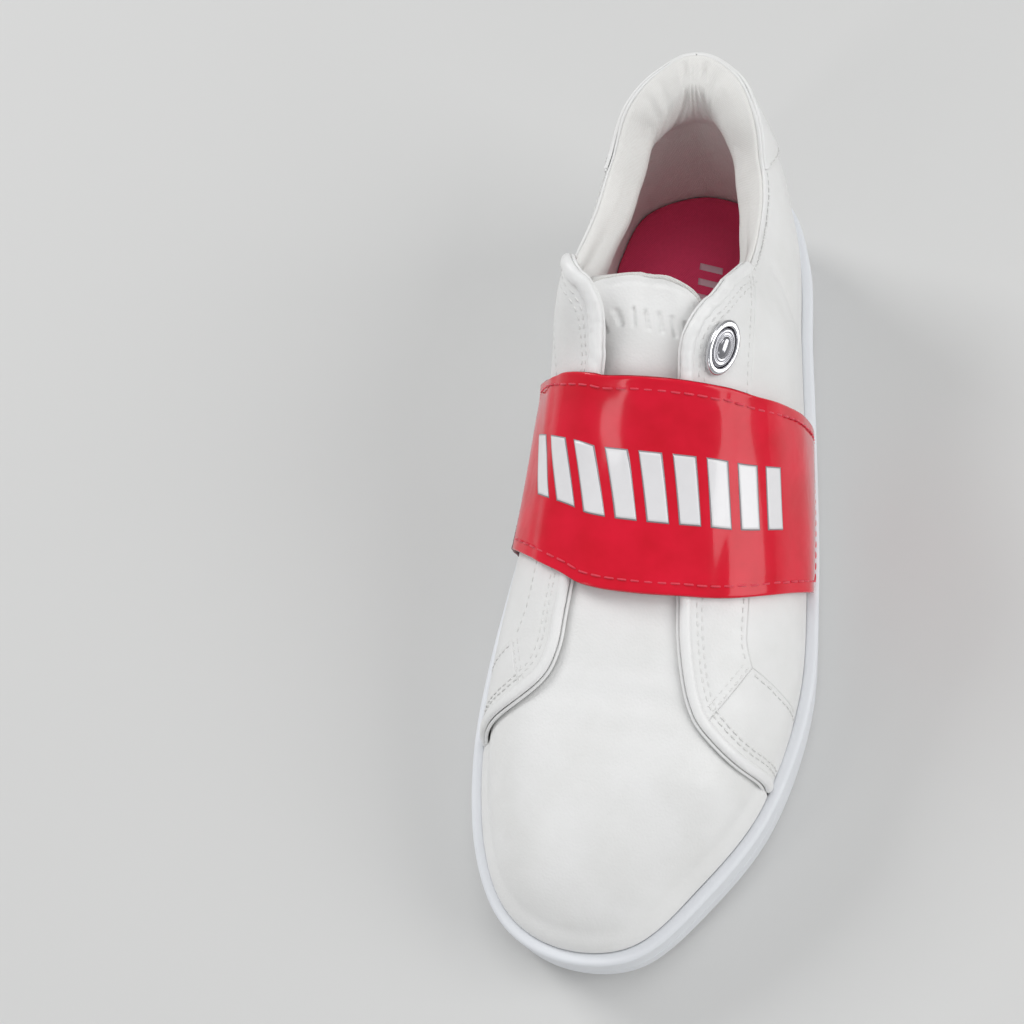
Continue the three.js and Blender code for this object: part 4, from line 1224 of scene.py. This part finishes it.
def tongue():
    patch, top = tongue_patch(), tongue_top()
    row = top.part(0.04, 0.96).beside(2.2)
    bars = pressed_bars(patch)

    def relief(grid):
        x, y, _ = np.moveaxis(surface(grid), -1, 0)
        return bars(grid) + 0.25 * np.sin(x / 7) * np.sin(y / 10)

    cover = shell(patch.grid(0.55), TONGUE_COVER, relief=relief, furrows=[row], lift=tongue_lift)
    add_mesh("tongue_leather", "tongue", LEATHER, cover, "tongue_cover")
    filling = shell(patch.grid(2.0), TONGUE_FOAM, rounding=1.2, lift=tongue_lift)
    foam = add_mesh("tongue_padding", "tongue", FOAM, filling, "tongue_foam")
    lining = shell(patch.grid(1.8), TONGUE_LINING, lift=tongue_lift)
    add_mesh("tongue_lining_cloth", "tongue", LINING_CLOTH, lining, "tongue_lining")
    verts, faces = sweep(top, oval(1.1, 3.3, 0, -5.9, 22), 0.1, np.linspace(0, 1, 150), lift=tongue_lift)
    verts = verts + unit(verts - verts.mean(0)) * rng.normal(0, 0.07, (len(verts), 1))
    add_mesh("tongue_binding", "tongue", BINDING_CLOTH, (verts, faces))


# ---------------------------------------------------------------- strap
STRAP_END = 0.33         # "up" of the strap's medial end, where the elastic starts
STRAP_FRONT = [(LATERAL, -19, .008), (LATERAL, -24.6, .194), (LATERAL, -34.4, .585), (LATERAL, -37, .808),
               (LATERAL, -37.5, .97), (MEDIAL, -36, .88), (MEDIAL, -32.6, .763), (MEDIAL, -27, .55),
               (MEDIAL, -21.5, STRAP_END)]
STRAP_REAR = [(LATERAL, 31, .008), (LATERAL, 22.8, .321), (LATERAL, 18.4, .533), (LATERAL, 17.3, .68),
              (LATERAL, 16.6, .816), (LATERAL, 16.4, .97), (MEDIAL, 16.6, .88), (MEDIAL, 17.7, .8),
              (MEDIAL, 21.5, .55), (MEDIAL, 26, STRAP_END)]
PRINTED_BARS = 9
PRINT_ALONG, PRINT_ACROSS = (0.30, 0.935), (0.352, 0.668)      # shares of the strap that the bars fill
PRINT_LEAN = 0.045
ROW_INSET = 3.3
FELT_RIM = 0.85          # how far the felt shows round the leather


def across_foot(triples):
    side, along, up = np.array(triples, float).T
    return flat(side, along * STRETCH[1], up)


def strap_patch(cut=0.0):
    front, rear = across_foot(STRAP_FRONT), across_foot(STRAP_REAR)
    middle = across_foot([(MEDIAL, 2, STRAP_END)])
    return Patch(chain(front), chain(rear), Line(np.stack([front[0], rear[0]])),
                 chain(front[-1:], middle, rear[-1:]), (cut, cut, cut, 0.25 + cut))


def strap_relief(grid):
    """Shallow folds that run along the foot, as where the strap bends over the instep."""
    side, along, up = unflat(grid)
    run = side * (1 - up)
    folds = 0.3 * np.sin(run * 15 + 0.6) + 0.2 * np.sin(run * 27 + along / 19)
    dents = -0.5 * bump(run, -0.42, 0.035) - 0.3 * bump(run, 0.33, 0.03)
    return (folds + dents) * 0.8 - 0.1


def strap_tuck(grid):
    """The lateral end lies in against the quarter, so that it stays inside the sole's lip."""
    return -0.7 * (1 - smooth(unflat(grid)[2] / 0.16))


def strap_height(grid):
    return STRAP[1] + strap_relief(grid)


def printed_bars(patch, name, finish, border, raised):
    """A row of slanted bars across the strap, each wider than its print by a border."""
    (start, end), (low, high) = PRINT_ALONG, PRINT_ACROSS
    pitch = (end - start) / PRINTED_BARS
    du, dv = border / patch.size[0], border / patch.size[1]
    s, t = np.linspace(0, 1, 12)[:, None], np.linspace(0, 1, 30)[None]
    v = low - dv + (high - low + 2 * dv) * t
    bars = []
    for k in range(PRINTED_BARS):
        u = start + k * pitch - du + (pitch * 0.62 + 2 * du) * s + PRINT_LEAN * (t - 0.5)
        grid = patch.at(u, v)
        base, normal, height = surface(grid), normals(grid), strap_height(grid)[..., None]
        outer, inner = base + normal * (height + raised), base + normal * (height - 0.15)
        bars.append(loft(np.concatenate([outer, inner[:, ::-1]], 1)))
    add_mesh(name, "strap", finish, joined(bars))


def strap():
    patch = strap_patch()
    rows = [edge.part(0.03, 0.985).beside(inset) for edge, inset in (
        (patch.bottom, -ROW_INSET), (patch.top, ROW_INSET))]
    rows += [Line(np.stack([patch.at(0.03, 0.06), patch.at(0.03, 0.94)]))]
    leather = shell(patch.grid(1.2), STRAP, rounding=0.55, relief=strap_relief, furrows=rows,
                    lift=strap_tuck)
    add_mesh("strap_patent_leather", "strap", PATENT, leather, "strap_patent")
    grid = strap_patch(cut=-FELT_RIM).grid(1.2)
    rough = rng.normal(0, 0.09, grid.shape[:2])
    curl = np.zeros(grid.shape[:2])
    curl[:, -1] = 0.8
    felt = shell(grid, BACKING, rounding=0.25, lift=strap_tuck,
                 relief=lambda g: np.minimum(0, strap_relief(g)) * 0.3 - np.abs(rough) + curl)
    add_mesh("strap_felt_backing", "strap", FELT, felt, "strap_backing")
    for k, row in enumerate(rows):
        stitches(f"stitches_strap_{k + 1}", "strap", RED_THREAD, [row], STRAP[1] + 0.03,
                 length=2.6, gap=0.9, lift=strap_tuck)
    printed_bars(patch, "strap_print", PRINT_WHITE, 0.0, 0.16)
    printed_bars(patch, "strap_print_outline", PRINT_GREY, 0.33, 0.08)


def gore():
    """The ribbed elastic between the strap's medial end and the rim; on the shoe it stretches as the strap
    lifts, but this panel stays fixed.
    """
    low = 0.01
    front = across_foot([(MEDIAL, -21.5, STRAP_END), (MEDIAL, -18, .17), (MEDIAL, -15, low)])
    rear = across_foot([(MEDIAL, 26, STRAP_END), (MEDIAL, 26, .17), (MEDIAL, 26, low)])
    head, foot = across_foot([(MEDIAL, 2, STRAP_END)]), across_foot([(MEDIAL, 5, low)])
    patch = Patch(chain(front), chain(rear), chain(front[:1], head, rear[:1]),
                  chain(front[-1:], foot, rear[-1:]), (0, 0, 0.1, 0))

    def ribs(grid):
        return 0.14 * np.cos(2 * math.pi * surface(grid)[..., 1] / 2.1)

    panel = shell(patch.grid(0.7), (BACKING[0], STRAP[1] - 0.5), relief=ribs)
    piece = add_mesh("gore_elastic_panel", None, ELASTIC, panel, "strap_gore")
    foot, head = [surface(across_foot([(MEDIAL, 3, up)]))[0] * MM for up in (0.03, STRAP_END)]
    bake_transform(piece)


# ---------------------------------------------------------------- stud
STUD_NARROW = 0.58       # the stud is an oval, this share of its length across
STUD_HALF, STUD_FACE, STUD_TOP = 8.0, 5.9, 2.2
RIM_ROUND, INNER_ROUND = 1.1, 0.5


def turned(name, finish, outline, height, stands_for):
    """A turned piece seated square on the facing."""
    place = flat(np.array(LATERAL), np.array(26.1 * STRETCH[1]), np.array(0.716))
    foot, axis = surface(place), normals(place)
    lengthwise = np.array((0.0, 1.0, 0.0))
    side = unit(lengthwise - axis * (lengthwise @ axis))
    other = np.cross(axis, side)
    a = np.linspace(0, 2 * math.pi, 72, endpoint=False)[:, None, None]
    r, z = np.array(outline, float).T[:, None, :, None]
    loops = foot + axis * (z + height) + (side * np.cos(a) + other * np.sin(a) * STUD_NARROW) * r
    add_disc(name, finish, loops, stands_for)


def rounding(radius, out, start, end, count):
    """Points of a quarter round that reaches out and up to the stud's top."""
    top = STUD_TOP - radius
    return [(out + radius * math.cos(t), top + radius * math.sin(t)) for t in np.linspace(start, end, count)]


def stud():
    arc = rounding(RIM_ROUND, STUD_HALF - RIM_ROUND, 0, math.pi / 2, 8)
    inner = rounding(INNER_ROUND, STUD_FACE + INNER_ROUND, math.pi / 2, math.pi, 6)
    turned("stud_rim", CHROME, [
        (0, 0), (STUD_HALF - 0.5, 0), (STUD_HALF - 0.1, 0.15), (STUD_HALF, 0.5), *arc, *inner,
        (STUD_FACE, 0.85), (0, 0.85)], STUD_BASE, "stud_ring")
    groove = [(r, 1.05 - 0.12 * (0.5 + 0.5 * math.cos(r * 6))) for r in np.linspace(4.9, 3.4, 10)]
    # The face gets the darker chrome: a painted dark reflection, not a metal of its own.
    turned("stud_centre", SHADED_FACE_CHROME, [
        (0, 0), (STUD_FACE - 0.25, 0), (STUD_FACE - 0.25, 0.6), (STUD_FACE - 0.7, 1.0), *groove,
        (3.2, 0.95), (2.9, 1.3), (2.4, 1.55), (0, 1.65)], STUD_BASE + 0.9, "stud_face")


def carried_over():
    """CAD nodes whose shape is right keep it, and get their finish."""
    for node, material in (
            ("midsole_insert", plain_stuff("midsole_foam", (0.76, 0.74, 0.70), 0.8, 0.1)),
            ("strobel_board", plain_stuff("board", (0.62, 0.58, 0.50), 0.6, 0.05)),
            ("stud_backplate", stud_metal("plate_metal", (0.62, 0.62, 0.64), 0.3))):
        mesh = frame["nodes"][node].data
        mesh.materials.clear()
        mesh.materials.append(material)


cupsole()
footbed()
vamp()
for which, label in SIDES:
    side_pieces(which, label)
collar()
heel_counter()
heel_patch()
tongue()
strap()
gore()
stud()
carried_over()


# ---------------------------------------------------------------- floor, light and camera
FLOOR_REACH, FLOOR_WIDE, BEND = 3.0, 6.0, 1.0      # metres; the floor bends up into the backdrop


def floor():
    bend = [(FLOOR_REACH + BEND * math.sin(a), BEND - BEND * math.cos(a))
            for a in np.linspace(0, math.pi / 2, 14)]
    line = [(-FLOOR_REACH, 0.0), (FLOOR_REACH, 0.0), *bend, (FLOOR_REACH + BEND, 3.0)]
    verts = [(x, y, z) for y, z in line for x in (-FLOOR_WIDE, FLOOR_WIDE)]
    faces = [(2 * k, 2 * k + 1, 2 * k + 3, 2 * k + 2) for k in range(len(line) - 1)]
    mesh = bpy.data.meshes.new("floor")
    mesh.from_pydata(verts, [], faces)
    look = Look("floor_paint", (0.66, 0.66, 0.65), 0.8)
    look.tint(look.noise(300, 2), (0.65, 0.65, 0.64), (0.67, 0.67, 0.66))
    mesh.materials.append(look.material)
    obj = bpy.data.objects.new("floor", mesh)
    bpy.context.scene.collection.objects.link(obj)


def area_light(name, place, size, power):
    """A rectangular light that faces the shoe."""
    light = bpy.data.lights.new(name, "AREA")
    light.shape = "RECTANGLE"
    light.size, light.size_y = size
    light.energy = power
    obj = bpy.data.objects.new(name, light)
    obj.location = place
    obj.rotation_euler = (Vector((0, 0, 0.04)) - Vector(place)).to_track_quat("-Z", "Y").to_euler()
    bpy.context.scene.collection.objects.link(obj)


CAMERA_PLACE = (-52.61, 15.11, 468.27)     # right, up and back from the shoe's middle, in millimetres


def camera():
    azimuth, elevation, roll = (math.radians(a) for a in (30.8, 63.13, -24.28))
    level_back = math.cos(elevation)
    back = np.array((math.sin(azimuth) * level_back, -math.cos(azimuth) * level_back, math.sin(elevation)))
    right = unit(np.cross((0, 0, 1), back))
    level = np.stack([right, np.cross(back, right), back])
    turn = np.array([[math.cos(roll), math.sin(roll), 0], [-math.sin(roll), math.cos(roll), 0], [0, 0, 1]])
    axes = turn @ level
    place = axes.T @ np.array(CAMERA_PLACE) * MM
    data = bpy.data.cameras.new("camera")
    data.sensor_width = 36
    data.lens = 49.57
    data.clip_start = 0.02
    obj = bpy.data.objects.new("camera", data)
    obj.matrix_world = Matrix([[*axes[:, r], place[r]] for r in range(3)] + [[0, 0, 0, 1]])
    bpy.context.scene.collection.objects.link(obj)
    bpy.context.scene.camera = obj
    bpy.context.scene.view_settings.view_transform = "Standard"


def world():
    """An even, near-white surround, a little dimmer overhead."""
    made = bpy.data.worlds.new("world")
    bpy.context.scene.world = made
    made.use_nodes = True
    background = made.node_tree.nodes["Background"]
    background.inputs["Color"].default_value = (0.97, 0.98, 1.0, 1)
    nodes, links = made.node_tree.nodes, made.node_tree.links
    height = nodes.new("ShaderNodeSeparateXYZ")
    links.new(nodes.new("ShaderNodeTexCoord").outputs["Generated"], height.inputs[0])
    ramp = nodes.new("ShaderNodeMapRange")
    links.new(height.outputs["Z"], ramp.inputs["Value"])
    for socket, value in (("From Min", 0.0), ("From Max", 0.9), ("To Min", 0.5), ("To Max", 0.46)):
        ramp.inputs[socket].default_value = value
    links.new(ramp.outputs["Result"], background.inputs["Strength"])


floor()
area_light("key", (-1.25, 0.7, 1.2), (0.6, 0.6), 11.5)
area_light("front", (-0.62, -0.75, 0.7), (0.1, 0.7), 1.0)
area_light("top", (0.2, 0.3, 1.6), (0.6, 0.6), 3)
area_light("fill", (1.3, -0.1, 0.9), (1.1, 0.9), 9.5)
camera()
world()
